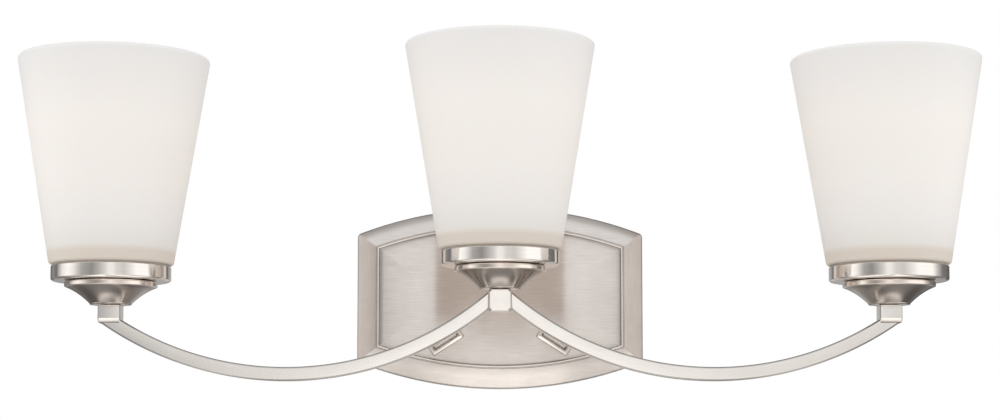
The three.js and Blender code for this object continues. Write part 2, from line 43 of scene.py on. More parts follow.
MM = 0.001
PLATE_WIDTH, PLATE_HEIGHT, PLATE_ARC = 175.2, 111.4, 241
PLATE_SHEET, PLATE_CORNER, WALL_DEPTH, PANEL_DEPTH = 1.2, 3, 12, 20
BEVEL_WIDTH, BEVEL_BULGE, CREST_RISE = 12.2, (5.4, 16.6), 1
PANEL_EDGE = BEVEL_WIDTH + 2.5
PILLOW_WIDTH, PILLOW_DROP, FLAT_START, FLAT_END = 22, 0.8, 41, 50
SET_SCREW_DEPTH, SET_SCREW_HOLE = 6, 2.7
SHARP_ANGLE = 0.55
# The reach of the painted shade in millimetres, and the size of the clouds in the grain.
PAINT_REACH, CLOUD_SIZE = 20, 1000 / 38


def linear(colour):
    """Linear red, green, blue and alpha of an sRGB hex colour: c/12.92 below 0.04045, else
    ((c + 0.055)/1.055)^2.4."""
    parts = np.array([int(colour[k:k + 2], 16) / 255 for k in (1, 3, 5)])
    curve = np.where(parts < 0.04045, parts / 12.92, ((parts + 0.055) / 1.055) ** 2.4)
    return [*curve, 1]


def add(tree, kind, settings=None, links=None):
    """Adds a shader node: settings go to its properties or sockets, stops to its colour ramp, and links
    join its sockets to other sockets, or to the first output of other nodes."""
    node = tree.nodes.new("ShaderNode" + kind)
    for key, value in (settings or {}).items():
        if key == "stops":
            ramp = node.color_ramp.elements
            while len(ramp) < len(value):
                ramp.new(0.5)
            for stop, (place, colour) in zip(ramp, value):
                stop.position, stop.color = place, colour
        elif isinstance(key, str) and hasattr(node, key):
            setattr(node, key, value)
        else:
            node.inputs[key].default_value = value
    for key, source in (links or {}).items():
        tree.links.new(getattr(source, "outputs", [source])[0], node.inputs[key])
    return node


def blank_material(name):
    """New material, its emptied node tree, and the socket that gives each point's place."""
    made = bpy.data.materials.new(name)
    made.use_nodes = True
    made.node_tree.nodes.clear()
    return made, made.node_tree, add(made.node_tree, "TexCoord").outputs["Object"]


def eased(corners, radii, closed=True, steps=7):
    """Outline with each corner rounded. For a turn of angle t and a radius r the arc runs from r tan(t/2)
    before the corner to as far after it, as the rational curve (a(1-s)^2 + 2wcs(1-s) + bs^2) /
    ((1-s)^2 + 2ws(1-s) + s^2), w = cos(t/2)."""
    c = np.asarray(corners, float)
    to_last, to_next = np.roll(c, 1, 0) - c, np.roll(c, -1, 0) - c
    last, following = np.linalg.norm(to_last, axis=1), np.linalg.norm(to_next, axis=1)
    to_last, to_next = to_last / last[:, None], to_next / following[:, None]
    turn = np.arccos(np.clip(-(to_last * to_next).sum(1), -1, 1))
    reach = np.broadcast_to(radii, len(c)) * np.tan(turn / 2)
    reach = np.minimum(reach, 0.495 * np.minimum(last, following))
    if not closed:
        reach[[0, -1]] = 0
    start, end = c + to_last * reach[:, None], c + to_next * reach[:, None]
    s = np.linspace(0, 1, steps)[None, :, None]
    w = np.cos(turn / 2)[:, None, None]
    top = start[:, None] * (1 - s) ** 2 + 2 * w * s * (1 - s) * c[:, None] + end[:, None] * s ** 2
    points = (top / ((1 - s) ** 2 + 2 * w * s * (1 - s) + s ** 2)).reshape(-1, 2)
    step = np.linalg.norm(points - np.roll(points, 1, 0), axis=1)
    step[0] = step[0] if closed else 1
    return points[step > 1e-6]


def plate_outline(inset, corner, along_side=9, along_corner=9, along_arc=33):
    """Rings drawn in by each inset, anticlockwise from the middle of the right side: x = W/2 - inset, a
    corner arc, and an arc of radius R - inset about (0, H/2 - R), which meet where
    sqrt((R - inset - corner)^2 - x^2) says."""
    inset, corner = inset[:, None], corner[:, None]
    half, arc, middle = PLATE_WIDTH / 2 - inset, PLATE_ARC - inset, PLATE_HEIGHT / 2 - PLATE_ARC
    x = half - corner
    z = middle + np.sqrt((arc - corner) ** 2 - x ** 2)
    meet = np.arctan2(z - middle, x)
    side = z * np.linspace(0, 1, along_side)[None, :-1]
    turn = meet * np.linspace(0, 1, along_corner)[None, :]
    sweep = meet + (np.pi / 2 - meet) * np.linspace(0, 1, along_arc)[None, 1:]
    xs = np.concatenate([half + 0 * side, x + corner * np.cos(turn), arc * np.cos(sweep)], 1)
    zs = np.concatenate([side, z + corner * np.sin(turn), middle + arc * np.sin(sweep)], 1)
    quarter = np.stack([xs, zs], -1)
    half_ring = np.concatenate([quarter[:, :-1], (quarter * [-1, 1])[:, :0:-1]], 1)
    return np.concatenate([half_ring, -half_ring], 1)


def rings_at(outlines, depth):
    """Rings of X, Y and Z from outlines of X and Z, each at its own Y."""
    depth = np.broadcast_to(np.asarray(depth, float)[:, None], outlines.shape[:2])
    return np.stack([outlines[..., 0], depth, outlines[..., 1]], -1)


def mesh_piece(name, points, faces):
    """Object with a mesh of these faces on these points, which are in metres."""
    mesh = bpy.data.meshes.new(name)
    mesh.from_pydata(points.tolist(), [], faces)
    piece = bpy.data.objects.new(name, mesh)
    bpy.context.scene.collection.objects.link(piece)
    return piece


def skin(name, rings, meet=False, grain="around"):
    """Closed mesh over a grid of points in millimetres, rows by columns. Columns close on themselves, and
    rows meet or end in a fan about their middle. The UV map "grain" holds lengths in metres, U along the
    tool marks and V across them."""
    rings = np.asarray(rings, float) * MM
    if not meet:
        spans = np.ptp(rings, axis=1).max(-1)
        middles = rings[[0, -1]].mean(1)
        rings = rings[int(spans[0] < 1e-9):len(rings) - int(spans[-1] < 1e-9)]
    rows, cols = rings.shape[:2]
    i = np.arange(rows if meet else rows - 1)[:, None]
    j = np.arange(cols)[None, :]
    low, high, here, there = i * cols, (i + 1) % rows * cols, j, (j + 1) % cols
    quads = np.stack([low + here, low + there, high + there, high + here], -1).reshape(-1, 4)
    around, across = (np.linalg.norm(np.roll(rings, -1, k) - rings, axis=-1).mean(1 - k) for k in (1, 0))
    around, across = np.append(0, np.cumsum(around)), np.append(0, np.cumsum(across))
    u = np.stack([around[j], around[j + 1], around[j + 1], around[j]], -1)
    v = np.stack([across[i], across[i], across[i + 1], across[i + 1]], -1)
    marks = np.stack(np.broadcast_arrays(u, v), -1).reshape(-1, 2)
    points, faces = rings.reshape(-1, 3), quads.tolist()
    if not meet:
        points = np.concatenate([points, middles])
        k = np.arange(cols)
        for end, row, a, b, out in ((0, 0, k + 1, k, -1), (1, rows - 1, k, k + 1, 1)):
            hub = np.full(cols, rows * cols + end)
            faces += np.stack([row * cols + a % cols, row * cols + b % cols, hub], -1).tolist()
            reach = np.linalg.norm(rings[row] - middles[end], axis=-1).mean()
            u = np.stack([around[a], around[b], (around[k] + around[k + 1]) / 2], -1)
            v = across[row] + np.array([0, 0, out * reach])
            marks = np.concatenate([marks, np.stack(np.broadcast_arrays(u, v), -1).reshape(-1, 2)])
    a, b, c, d = (points[quads[:, k]] for k in range(4))
    volume = (np.cross(b, c) * a).sum() + (np.cross(c, d) * a).sum()
    piece = mesh_piece(name, points, faces)
    marks = marks if grain == "around" else marks[:, ::-1]
    piece.data.uv_layers.new(name="grain").uv.foreach_set("vector", marks.ravel())
    if volume < 0:
        piece.data.flip_normals()
    piece.data.shade_smooth()
    piece.data.set_sharp_from_angle(angle=SHARP_ANGLE)
    return piece


def dress(piece, material, slot, *nodes, body="fixture"):
    """Gives a piece its finish and the body that carries it, and hides the solids it stands for. The slot is
    not used.
    """
    piece.data.materials.append(material)
    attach(piece, body)
    if nodes:
        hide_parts(*nodes)
    return piece


def bored(piece, *tools):
    """The piece with each tool, a closed mesh, cut out of it. The tools are deleted."""
    for tool in tools:
        cut = piece.modifiers.new("cut", "BOOLEAN")
        cut.operation, cut.solver, cut.object = "DIFFERENCE", "EXACT", tool
    bpy.context.view_layer.update()
    result = bpy.data.meshes.new_from_object(piece.evaluated_get(bpy.context.evaluated_depsgraph_get()))
    piece.modifiers.clear()
    piece.data = result
    for tool in tools:
        bpy.data.objects.remove(tool)
    return piece


def circle(radius, count, height):
    """Points at equal angles t round Z at one height: r cos t, r sin t."""
    t = np.arange(count) * 2 * np.pi / count
    return np.stack([radius * np.cos(t), radius * np.sin(t), np.full(count, height)], -1)


def rod_along(axis, radius, low, high, place):
    """Plain cylinder along X or Y between two distances, for boring."""
    rings = np.stack([circle(radius, 48, height) for height in (low, high)])
    return skin("tool", rings[..., ((2, 0, 1), (0, 2, 1))[axis]] + place)


def read(items, name, width=1, kind=np.float32):
    """One property of all items of a mesh, in rows of the given width."""
    values = np.zeros(len(items) * width, kind)
    items.foreach_get(name, values)
    return values.reshape(-1, width) if width > 1 else values


def pressed(piece, distance):
    """Adds the UV map "press", whose U holds a distance in millimetres for each vertex."""
    distance = np.asarray(distance, float)[read(piece.data.loops, "vertex_index", kind=np.int32)]
    press = np.stack([distance, 0 * distance], -1)
    piece.data.uv_layers.new(name="press").uv.foreach_set("vector", press.ravel())


def grained_nickel(name, colour, deep, roughness, anisotropic, streak, line, bump, painted_shade=None):
    """Metal with tool marks along U: noise stretched to streak by line, in millimetres, tints, roughens
    and lifts it, and a noise of CLOUD_SIZE clouds it. Its last argument is painted shade on edges, press
    lines and other places: pairs of a distance in the UV map "press", up to its reach, and a share of the
    colour."""
    made, tree, here = blank_material(name)
    place = add(tree, "UVMap", {"uv_map": "grain"})
    marks = add(tree, "Mapping", {"Scale": (1000 / streak, 1000 / line, 1)}, {"Vector": place})
    lines = add(tree, "TexNoise", {"Scale": 1, "Detail": 3, "Roughness": 0.6}, {"Vector": marks})
    cloud = add(tree, "TexNoise", {"Scale": 1000 / CLOUD_SIZE, "Detail": 6, "Roughness": 0.68},
                {"Vector": here})
    mixed = add(tree, "Math", {"operation": "MULTIPLY_ADD", 1: 0.5}, {0: cloud, 2: lines})
    tint = add(tree, "ValToRGB", {"stops": [(0.5, linear(deep)), (0.95, linear(colour))]}, {"Fac": mixed})
    # Painted shade: the colour darkens by a distance in the UV map "press".
    if painted_shade:
        inset = add(tree, "SeparateXYZ", links={0: add(tree, "UVMap", {"uv_map": "press"})})
        inset = add(tree, "MapRange", {"From Min": 0, "From Max": PAINT_REACH}, {"Value": inset})
        stops = [(at / PAINT_REACH, (tone, tone, tone, 1)) for at, tone in painted_shade]
        lined = add(tree, "ValToRGB", {"stops": stops}, {"Fac": inset})
        tint = add(tree, "VectorMath", {"operation": "MULTIPLY"}, {0: tint, 1: lined})
    rough = add(tree, "MapRange", {"To Min": roughness * 0.82, "To Max": roughness * 1.2}, {"Value": lines})
    lift = add(tree, "Bump", {"Strength": bump, "Distance": 0.05 * MM}, {"Height": lines})
    along = add(tree, "Tangent", {"direction_type": "UV_MAP", "uv_map": "grain"})
    metal = add(tree, "BsdfPrincipled",
                {"Metallic": 1, "Anisotropic": anisotropic, "Anisotropic Rotation": 0.25},
                {"Base Color": tint, "Roughness": rough, "Normal": lift, "Tangent": along})
    add(tree, "OutputMaterial", links={"Surface": metal})
    return made


# Nickel plate over brushed steel: a belt leaves fine lines 15 mm long, on a warm light grey that
# spreads reflections across them. Real lines are 0.1 mm apart, drawn at 0.3 mm so that they show.
# Its last stops paint shade along the outer edge, down the bevel towards the crest, in the grooves on each
# side of the crest and on the panel beside it, so the crest reads bright.
brushed_plate = grained_nickel("brushed nickel plate", "#f6f1ed", "#ddd6d1", 0.3, 0.75, 15, 0.3, 0.14, painted_shade=(
    (0.2, 0.75), (0.9, 1), (1.6, 1), (11.4, 0.86), (11.8, 0.58), (12.2, 0.9), (12.6, 1), (13.4, 1),
    (13.8, 0.5), (14.2, 0.72), (17, 0.86), (20, 0.9)))

pan_front = eased([
    (0, 0), (0, WALL_DEPTH), BEVEL_BULGE, (BEVEL_WIDTH - 0.5, PANEL_DEPTH - 0.35),
    (BEVEL_WIDTH, PANEL_DEPTH - 0.9), (BEVEL_WIDTH + 0.5, PANEL_DEPTH + CREST_RISE),
    (BEVEL_WIDTH + 1.4, PANEL_DEPTH + CREST_RISE), (BEVEL_WIDTH + 1.9, PANEL_DEPTH - 1),
    (PANEL_EDGE, PANEL_DEPTH - PILLOW_DROP),
], [0.2, 2.2, 40, 0.3, 0.25, 0.4, 0.4, 0.25, 0], closed=False)
share = np.linspace(0, 1, 13)[1:]
pillow = np.stack([PANEL_EDGE + PILLOW_WIDTH * share, PANEL_DEPTH - PILLOW_DROP * (1 - share) ** 2], -1)
flat = np.stack([np.linspace(FLAT_START, FLAT_END, 3), np.full(3, PANEL_DEPTH)], -1)
pan_back = eased([
    (FLAT_END, PANEL_DEPTH - PLATE_SHEET), (BEVEL_WIDTH + 0.4, PANEL_DEPTH - PLATE_SHEET),
    (PLATE_SHEET, WALL_DEPTH - 0.65), (PLATE_SHEET, 0), (0, 0),
], [0, 2, 0.9, 0.2, 0], closed=False)
pan = np.concatenate([pan_back[:-1], pan_front, pillow, flat])
pan_corner = np.clip(PLATE_CORNER - pan[:, 0] * 0.3, 0.8, PLATE_CORNER)
outline = plate_outline(pan[:, 0], pan_corner)
backplate = skin("stamped_backplate", rings_at(outline, -pan[:, 1]))

# The brush runs along X, and along Z where a face leans to a side.
mesh = backplate.data
x, y, z = read(mesh.vertices, "co", 3)[read(mesh.loops, "vertex_index", kind=np.int32)].T
corners = read(mesh.polygons, "loop_total", kind=np.int32)
facing = np.repeat(abs(read(mesh.polygons, "normal", 3)), corners, axis=0)
upright = (facing[:, 0] > 0.2) & (facing[:, 0] > facing[:, 2])
brushed = np.where(upright[:, None], np.stack([z, abs(x) + y], -1), np.stack([x, z], -1))
mesh.uv_layers["grain"].uv.foreach_set("vector", brushed.ravel())
pressed(backplate, np.append(np.repeat(pan[:, 0], outline.shape[1]), [FLAT_END, FLAT_END]))
backplate = bored(backplate, rod_along(0, SET_SCREW_HOLE, -100, 100, (0, -SET_SCREW_DEPTH, 0)))
dress(backplate, brushed_plate, "brushed_nickel_plate", "backplate")


# Mounting strap: a zinc-plated steel bar behind the pan, slotted for the wall box's screws, with a
# bent tab at each end. Two slotted set screws come through the pan's sides into the tabs, and a
# green screw in the middle takes the earth wire.

SIDES = (("left", -1), ("right", 1))
STRAP_WIDTH, STRAP_SHEET, STRAP_BEND, STRAP_FLAT = 25, 2.3, 2, 78
TAB_DEPTH, TAB_GAP, TAB_ROUND = 9.5, 0.6, 0.86
STRAP_END = PLATE_WIDTH / 2 - PLATE_SHEET - TAB_GAP
SLOT_NEAR, SLOT_FAR, SLOT_RADIUS = 34.9, 44.5, 2.4
SCREW_RADIUS, SCREW_LENGTH, DRIVE_SLOT, DRIVE_DEPTH = 2.4, 9.4, 0.9, 1.2
GROUND_RISE, EARTH_HEAD, EARTH_SEAT, EARTH_TOP = 7.4, 4.6, 2.6, 5.2


def rounded(width, height, corner, steps=7):
    """Rings of four quarter circles about the middle, anticlockwise from the right: corner middles at
    (w/2 - c, h/2 - c)."""
    sizes = np.broadcast_arrays(*np.atleast_1d(width, height, corner))
    width, height, corner = (np.asarray(size, float).reshape(-1, 1, 1) for size in sizes)
    turn = (np.arange(4)[:, None] + np.linspace(0, 1, steps)[None, :]) * np.pi / 2
    sx, sz = np.array([1, -1, -1, 1])[:, None], np.array([1, 1, -1, -1])[:, None]
    x = sx * (width / 2 - corner) + corner * np.cos(turn)
    z = sz * (height / 2 - corner) + corner * np.sin(turn)
    return np.stack([x, z], -1).reshape(len(width), -1, 2)


def swept(path, section):
    """Rings of a section carried square to a flat path, its first side across the path and its second
    beside it."""
    heading = np.gradient(path, axis=0)
    heading /= np.linalg.norm(heading, axis=1)[:, None]
    across = np.stack([-heading[:, 1], heading[:, 0]], -1)[:, None]
    return np.concatenate([path[:, None] + across * section[..., :1], section[..., 1:]], -1)


def long_slot(low, high):
    """Closed tool for a slot with round ends through the strap, from end middle to end middle along X."""
    ring = rounded([high - low + 2 * SLOT_RADIUS] * 2, 2 * SLOT_RADIUS, SLOT_RADIUS, 12)
    return skin("tool", rings_at(ring + [(low + high) / 2, 0], (1, -4)))


def slotted_disc(name, radius, low, high, slot, slot_depth, dome, axis, sign, place):
    """Screw head or set screw as rows of straight chords: x = u sqrt(r^2 - y^2). Its face, at
    high - dome (d/r)^4 and slot_depth less inside the slot, looks along X or Y, forwards or backwards."""
    half = slot / 2
    fan = np.linspace(0, np.pi / 2, 14)
    y = np.concatenate([-radius * np.cos(fan)[:-2], [-half * 1.02, -half, half, half * 1.02],
                        radius * np.sin(fan)[2:]])
    y = np.sort(np.clip(y, -radius * 0.9999, radius * 0.9999))
    u = np.sin(np.linspace(-np.pi / 2, np.pi / 2, 19))
    x = u[None, :] * np.sqrt(radius ** 2 - y ** 2)[:, None]
    y = np.broadcast_to(y[:, None], x.shape)
    face = high - dome * ((x ** 2 + y ** 2) / radius ** 2) ** 2 - slot_depth * (np.abs(y) <= half * 1.001)
    rows, cols = x.shape
    i, j = np.arange(rows - 1)[:, None], np.arange(cols - 1)[None, :]
    near = i * cols + j
    up = np.stack([near, near + 1, near + cols + 1, near + cols], -1).reshape(-1, 4)
    rim = np.concatenate([
        np.arange(cols), np.arange(1, rows) * cols + cols - 1,
        (rows - 1) * cols + np.arange(cols - 2, -1, -1), np.arange(rows - 2, 0, -1) * cols])
    step = np.roll(rim, -1)
    wall = np.stack([rim, rim + rows * cols, step + rows * cols, step], -1)
    points = np.stack([[x, y, face], [x, y, np.full_like(x, low)]]).transpose(0, 2, 3, 1).reshape(-1, 3) * MM
    order = ((2, 0, 1), (1, 2, 0))[axis]
    points = points[:, order] * np.where(np.arange(3) == axis, sign, 1) + np.array(place) * MM
    faces = np.concatenate([up, (up + rows * cols)[:, ::-1], wall])
    piece = mesh_piece(name, points, (faces[:, ::-1] if sign < 0 else faces).tolist())
    piece.data.shade_smooth()
    piece.data.set_sharp_from_angle(angle=SHARP_ANGLE)
    return piece


# Metal or moulded: the noise, the roughness's least and most share, the pits and the surface.
METAL = ({"Detail": 4, "Roughness": 0.6}, (0.8, 1.25), {"Strength": 0.2, "Distance": 0.04 * MM},
         {"Metallic": 1})
MOULDED = {"Detail": 3}, (0.85, 1.2), {"Strength": 0.15, "Distance": 0.05 * MM}, {"IOR": 1.55}


def speckled(kind, name, colour, deep, roughness, grit):
    """Finish of a kind, which a noise of the given size in millimetres shades, dulls and pits."""
    noise, share, pits, surface = kind
    made, tree, here = blank_material(name)
    cloud = add(tree, "TexNoise", {"Scale": 1000 / grit, **noise}, {"Vector": here})
    tint = add(tree, "ValToRGB", {"stops": [(0.3, linear(deep)), (0.7, linear(colour))]}, {"Fac": cloud})
    least, most = roughness * share[0], roughness * share[1]
    rough = add(tree, "MapRange", {"To Min": least, "To Max": most}, {"Value": cloud})
    lift = add(tree, "Bump", pits, {"Height": cloud})
    shown = add(tree, "BsdfPrincipled", surface, {"Base Color": tint, "Roughness": rough, "Normal": lift})
    add(tree, "OutputMaterial", links={"Surface": shown})
    return made


# Bright zinc on steel: bluish grey, spangled in patches of a few millimetres, half shiny.
zinc = speckled(METAL, "zinc-plated steel", "#b9bec4", "#9aa0a6", 0.42, 5)
# Green dyed zinc on the earth screw, as the codes ask for.
green_zinc = speckled(METAL, "green zinc-plated screw", "#3c8f55", "#286a3c", 0.4, 2)

bend = np.linspace(0, np.pi / 2, 9)
bend_radius = STRAP_BEND + STRAP_SHEET / 2
tab_middle = STRAP_END - STRAP_SHEET / 2
bend_out = np.stack([tab_middle - bend_radius * (1 - np.sin(bend)),
                     -STRAP_SHEET / 2 - bend_radius * (1 - np.cos(bend))], -1)
half_path = np.concatenate([
    np.stack([np.linspace(0, STRAP_FLAT, 6), np.full(6, -STRAP_SHEET / 2)], -1), bend_out,
    [(tab_middle, -TAB_DEPTH + 0.3), (tab_middle, -TAB_DEPTH)]])
path = np.concatenate([half_path[:0:-1] * [-1, 1], half_path])
shrink = np.ones(len(path))
shrink[[0, -1]] = TAB_ROUND
section_width = STRAP_WIDTH - 0.6 * (1 - shrink) / (1 - TAB_ROUND)
section = rounded(STRAP_SHEET * shrink, section_width, 0.35 * shrink, 4)
strap = skin("slotted_crossbar", swept(path, section), grain="along")
bored(strap, long_slot(SLOT_NEAR, SLOT_FAR), long_slot(-SLOT_FAR, -SLOT_NEAR),
      rod_along(0, SET_SCREW_HOLE, -100, 100, (0, -SET_SCREW_DEPTH, 0)),
      rod_along(1, SCREW_RADIUS, -4, 1, (0, 0, GROUND_RISE)))
dress(strap, zinc, "zinc_steel", "mounting_strap")

for side, sign in SIDES:
    set_screw = slotted_disc(f"set_screw_{side}", SCREW_RADIUS, -SCREW_LENGTH, 0, DRIVE_SLOT, DRIVE_DEPTH,
                             0.25, 0, sign, (sign * PLATE_WIDTH / 2, -SET_SCREW_DEPTH, 0))
    dress(set_screw, zinc, "zinc_steel", f"canopy_screw_{side}")
earth_screw = slotted_disc("earth_screw", EARTH_HEAD, EARTH_SEAT, EARTH_TOP, DRIVE_SLOT, DRIVE_DEPTH,
                           0.5, 1, -1, (0, 0, GROUND_RISE))
dress(earth_screw, green_zinc, "green_screw", "ground_screw")


# Posts, collars and their screws: a flat nickel-plated bar on each side carries the arm, its foot
# hidden by a bevelled collar on the panel. A pan-head screw and a washer behind the panel hold it.

POST_PLACE, POST_RISE, POST_TILT, POST_WIDTH, POST_THICK = 33.8, 1.8, np.radians(33), 15.6, 4.4
POST_BACK, POST_FRONT, POST_CORNER = PANEL_DEPTH + 0.3, 102.73, 0.8
COLLAR_WIDTH, COLLAR_THICK, COLLAR_HEIGHT, COLLAR_BEVEL = 22, 10, 3, 1.9
POST_HEAD, POST_HEAD_HEIGHT, POST_SHANK, WASHER_BORE, WASHER_RADIUS = 3.4, 2.2, 1.4, 1.7, 4.6
LAMP_REACH, ARM_SIZE, CENTRE_BASE, SIDE_DROP, SEAT_GAP = 107, 7.94, -2.4, 9, 0.3
LAMP_SPACING, BLOCK_SIZE, ARM_RADIUS, ARM_SEAT = 222.25, 12.7, 180.6, 9.2
SIDE_BASE = CENTRE_BASE - SIDE_DROP
BLOCK_MIDDLE = CENTRE_BASE - SEAT_GAP - BLOCK_SIZE / 2
# Places on the painted shade scale of the nickel: the flats, the rims, and the seams where a piece meets
# another.
FLAT_SHADING, RIM_SHADING, SEAM_SHADING = 0.74, 0.2, 1.2

inner_end = np.array([BLOCK_SIZE / 2, BLOCK_MIDDLE])
outer_end = np.array([LAMP_SPACING, SIDE_BASE - ARM_SEAT])
chord = outer_end - inner_end
normal = np.array([-chord[1], chord[0]]) / np.linalg.norm(chord)
ARM_CENTRE = (inner_end + outer_end) / 2 + normal * np.sqrt(ARM_RADIUS ** 2 - (chord ** 2).sum() / 4)


def turned(name, profile, place=(0, 0, 0), sides=96, meet=False, ripple=None, axis=2):
    """Body turned about Z or Y from a profile of radius and height: (r cos t, r sin t, h), t from the side
    at the wall. ripple(t, r, h) is what a thread or a grip adds to the radius."""
    profile = np.asarray(profile, float)
    t = np.pi / 2 + np.arange(sides) * 2 * np.pi / sides
    t, r, h = np.broadcast_arrays(t, profile[:, :1], profile[:, 1:])
    if ripple is not None:
        r = r + ripple(t, r, h)
    rings = np.stack([r * np.cos(t), r * np.sin(t), h], -1)
    if axis == 1:
        rings = rings[..., [0, 2, 1]] * [1, -1, 1]
    return skin(name, rings + np.array(place, float), meet=meet)


def arm_height(x, radius=ARM_RADIUS):
    """Height of an arc of that radius about the arm's centre, at x: cz - sqrt(r^2 - (x - cx)^2)."""
    return ARM_CENTRE[1] - np.sqrt(radius ** 2 - (x - ARM_CENTRE[0]) ** 2)


post_height = arm_height(POST_PLACE) + POST_RISE


def tilted(outlines, depth, sign):
    """Rings turned about Y by the post's tilt and set at the post's place, at a depth from the wall."""
    c, s = np.cos(sign * POST_TILT), np.sin(sign * POST_TILT)
    x, z = outlines[..., 0], outlines[..., 1]
    return rings_at(np.stack([x * c + z * s + sign * POST_PLACE, z * c - x * s + post_height], -1), -depth)


def shaded_edges(piece, rim=(), seam=()):
    """Painted shade on a square bar with rings of four times seven points, as places on its material's scale
    of painted shade: 0, darker, in the middle of each rounded edge and the flats' value on the flats. Rim
    rows are edges all round, and seam rows are painted dark where they lie against another piece."""
    rows = len(piece.data.vertices) // 28
    shading = np.tile(np.abs(np.arange(28) % 7 - 3) / 3 * FLAT_SHADING, (rows, 1))
    shading[[0, -1]] = FLAT_SHADING
    shading[list(rim)] = RIM_SHADING
    shading[list(seam)] = SEAM_SHADING
    pressed(piece, np.append(shading, [FLAT_SHADING, FLAT_SHADING]))


# Nickel polished on a wheel: nearly a mirror, pale, with faint lines left by the wheel. Painted shade
# darkens its edges, and the foot and the inner lip of the collars.
polished = grained_nickel("polished nickel", "#f1eae3", "#e6ded6", 0.14, 0.3, 25, 0.5, 0.04, painted_shade=(
    (0, 0.4), (0.4, 0.5), (0.62, 1)))
# A brighter copy of the polished nickel for the collars: a painted highlight on the bevel, with painted
# shade at its foot and inner lip.
collar_nickel = grained_nickel(
    "polished nickel, bevelled", "#f8f2ec", "#ece5de", 0.14, 0.3, 25, 0.5, 0.04,
    painted_shade=((0.1, 0.35), (0.3, 0.5), (0.5, 1), (1.3, 1), (1.7, 0.7), (2.3, 0.66), (2.6, 0.3)))

for side, sign in SIDES:
    depth = np.array([POST_BACK, POST_BACK + 0.2, POST_FRONT - 0.33, POST_FRONT - 0.13, POST_FRONT])
    inset = np.array([0.2, 0, 0, 0.1, 0.3])
    ring = rounded(POST_WIDTH - 2 * inset, POST_THICK - 2 * inset, POST_CORNER)
    post = skin(f"post_bar_{side}", tilted(ring, depth, sign), grain="along")
    # Painted shade along the post's rounded edges.
    shaded_edges(post)
    dress(post, polished, "polished_nickel", f"post_{side}")

    bead_width, bead_thick = (COLLAR_WIDTH - POST_WIDTH) / 2 - 0.3, (COLLAR_THICK - POST_THICK) / 2 - 0.3
    bead = eased([(0, 0), (0, COLLAR_HEIGHT - COLLAR_BEVEL), (COLLAR_BEVEL, COLLAR_HEIGHT),
                  (bead_width, COLLAR_HEIGHT), (bead_width, 0)], [0.15, 0.35, 0.3, 0.25, 0.1])
    across, depth = bead[:, 0], POST_BACK + bead[:, 1]
    ring = rounded(COLLAR_WIDTH - 2 * across, COLLAR_THICK - 2 * np.minimum(across, bead_thick),
                   np.clip(0.9 - 0.1 * across, 0.5, 0.9))
    collar = skin(f"bevelled_collar_{side}", tilted(ring, depth, sign), meet=True)
    pressed(collar, np.repeat(across, 28))
    dress(collar, collar_nickel, "polished_nickel", f"collar_{side}")

    seat = PANEL_DEPTH - PLATE_SHEET - 1.4
    pan_head = slotted_disc(f"post_screw_head_{side}", POST_HEAD, -POST_HEAD_HEIGHT, 0, 1, 1, 0.6, 1, 1,
                            (sign * POST_PLACE, POST_HEAD_HEIGHT - seat, post_height))
    dress(pan_head, zinc, "zinc_steel", f"post_screw_{side}")
    shank = turned(f"post_screw_shank_{side}",
                   [(0, seat - 0.2), (POST_SHANK, seat - 0.2), (POST_SHANK, seat + 3), (0, seat + 3)],
                   (sign * POST_PLACE, 0, post_height), 32, axis=1)
    dress(shank, zinc, "zinc_steel")
    washer_top = PANEL_DEPTH - PLATE_SHEET - SEAT_GAP
    washer = turned(f"post_washer_ring_{side}",
                    eased([(WASHER_BORE, washer_top - 0.8), (WASHER_RADIUS, washer_top - 0.8),
                           (WASHER_RADIUS, washer_top), (WASHER_BORE, washer_top)], 0.15, steps=4),
                    (sign * POST_PLACE, 0, post_height), 64, meet=True, axis=1)
    dress(washer, zinc, "zinc_steel", f"post_washer_{side}")


# Arms: square bars, 7.9 mm thick, bent to one arc each, brushed lengthwise and satin nickel plated.
# They butt against the centre block and end inside the stems' outer faces, one corner rounded.

ARM_EDGE, ARM_END_ROUND, BUTT_EDGE, ARM_TUCK = 1.1, 0.9, 0.3, 0.15

# Satin nickel: brushed along the bar, then softened with a fine wheel, paler than the plate, with
# painted shade along the edges and darkest where a stem meets an arm.
satin = grained_nickel("satin nickel", "#fdfaf6", "#f2eee9", 0.2, 0.4, 22, 0.3, 0.12, painted_shade=(
    (0, 0.42), (0.45, 0.5), (0.7, 1), (0.8, 1), (1.2, 0.1)))


def fallen(near, radius):
    """Fall of a rounded edge at a distance d up to r from its end: r - sqrt(r^2 - (r - d)^2)."""
    return radius - np.sqrt(radius ** 2 - (radius - np.clip(near, 0, radius)) ** 2)


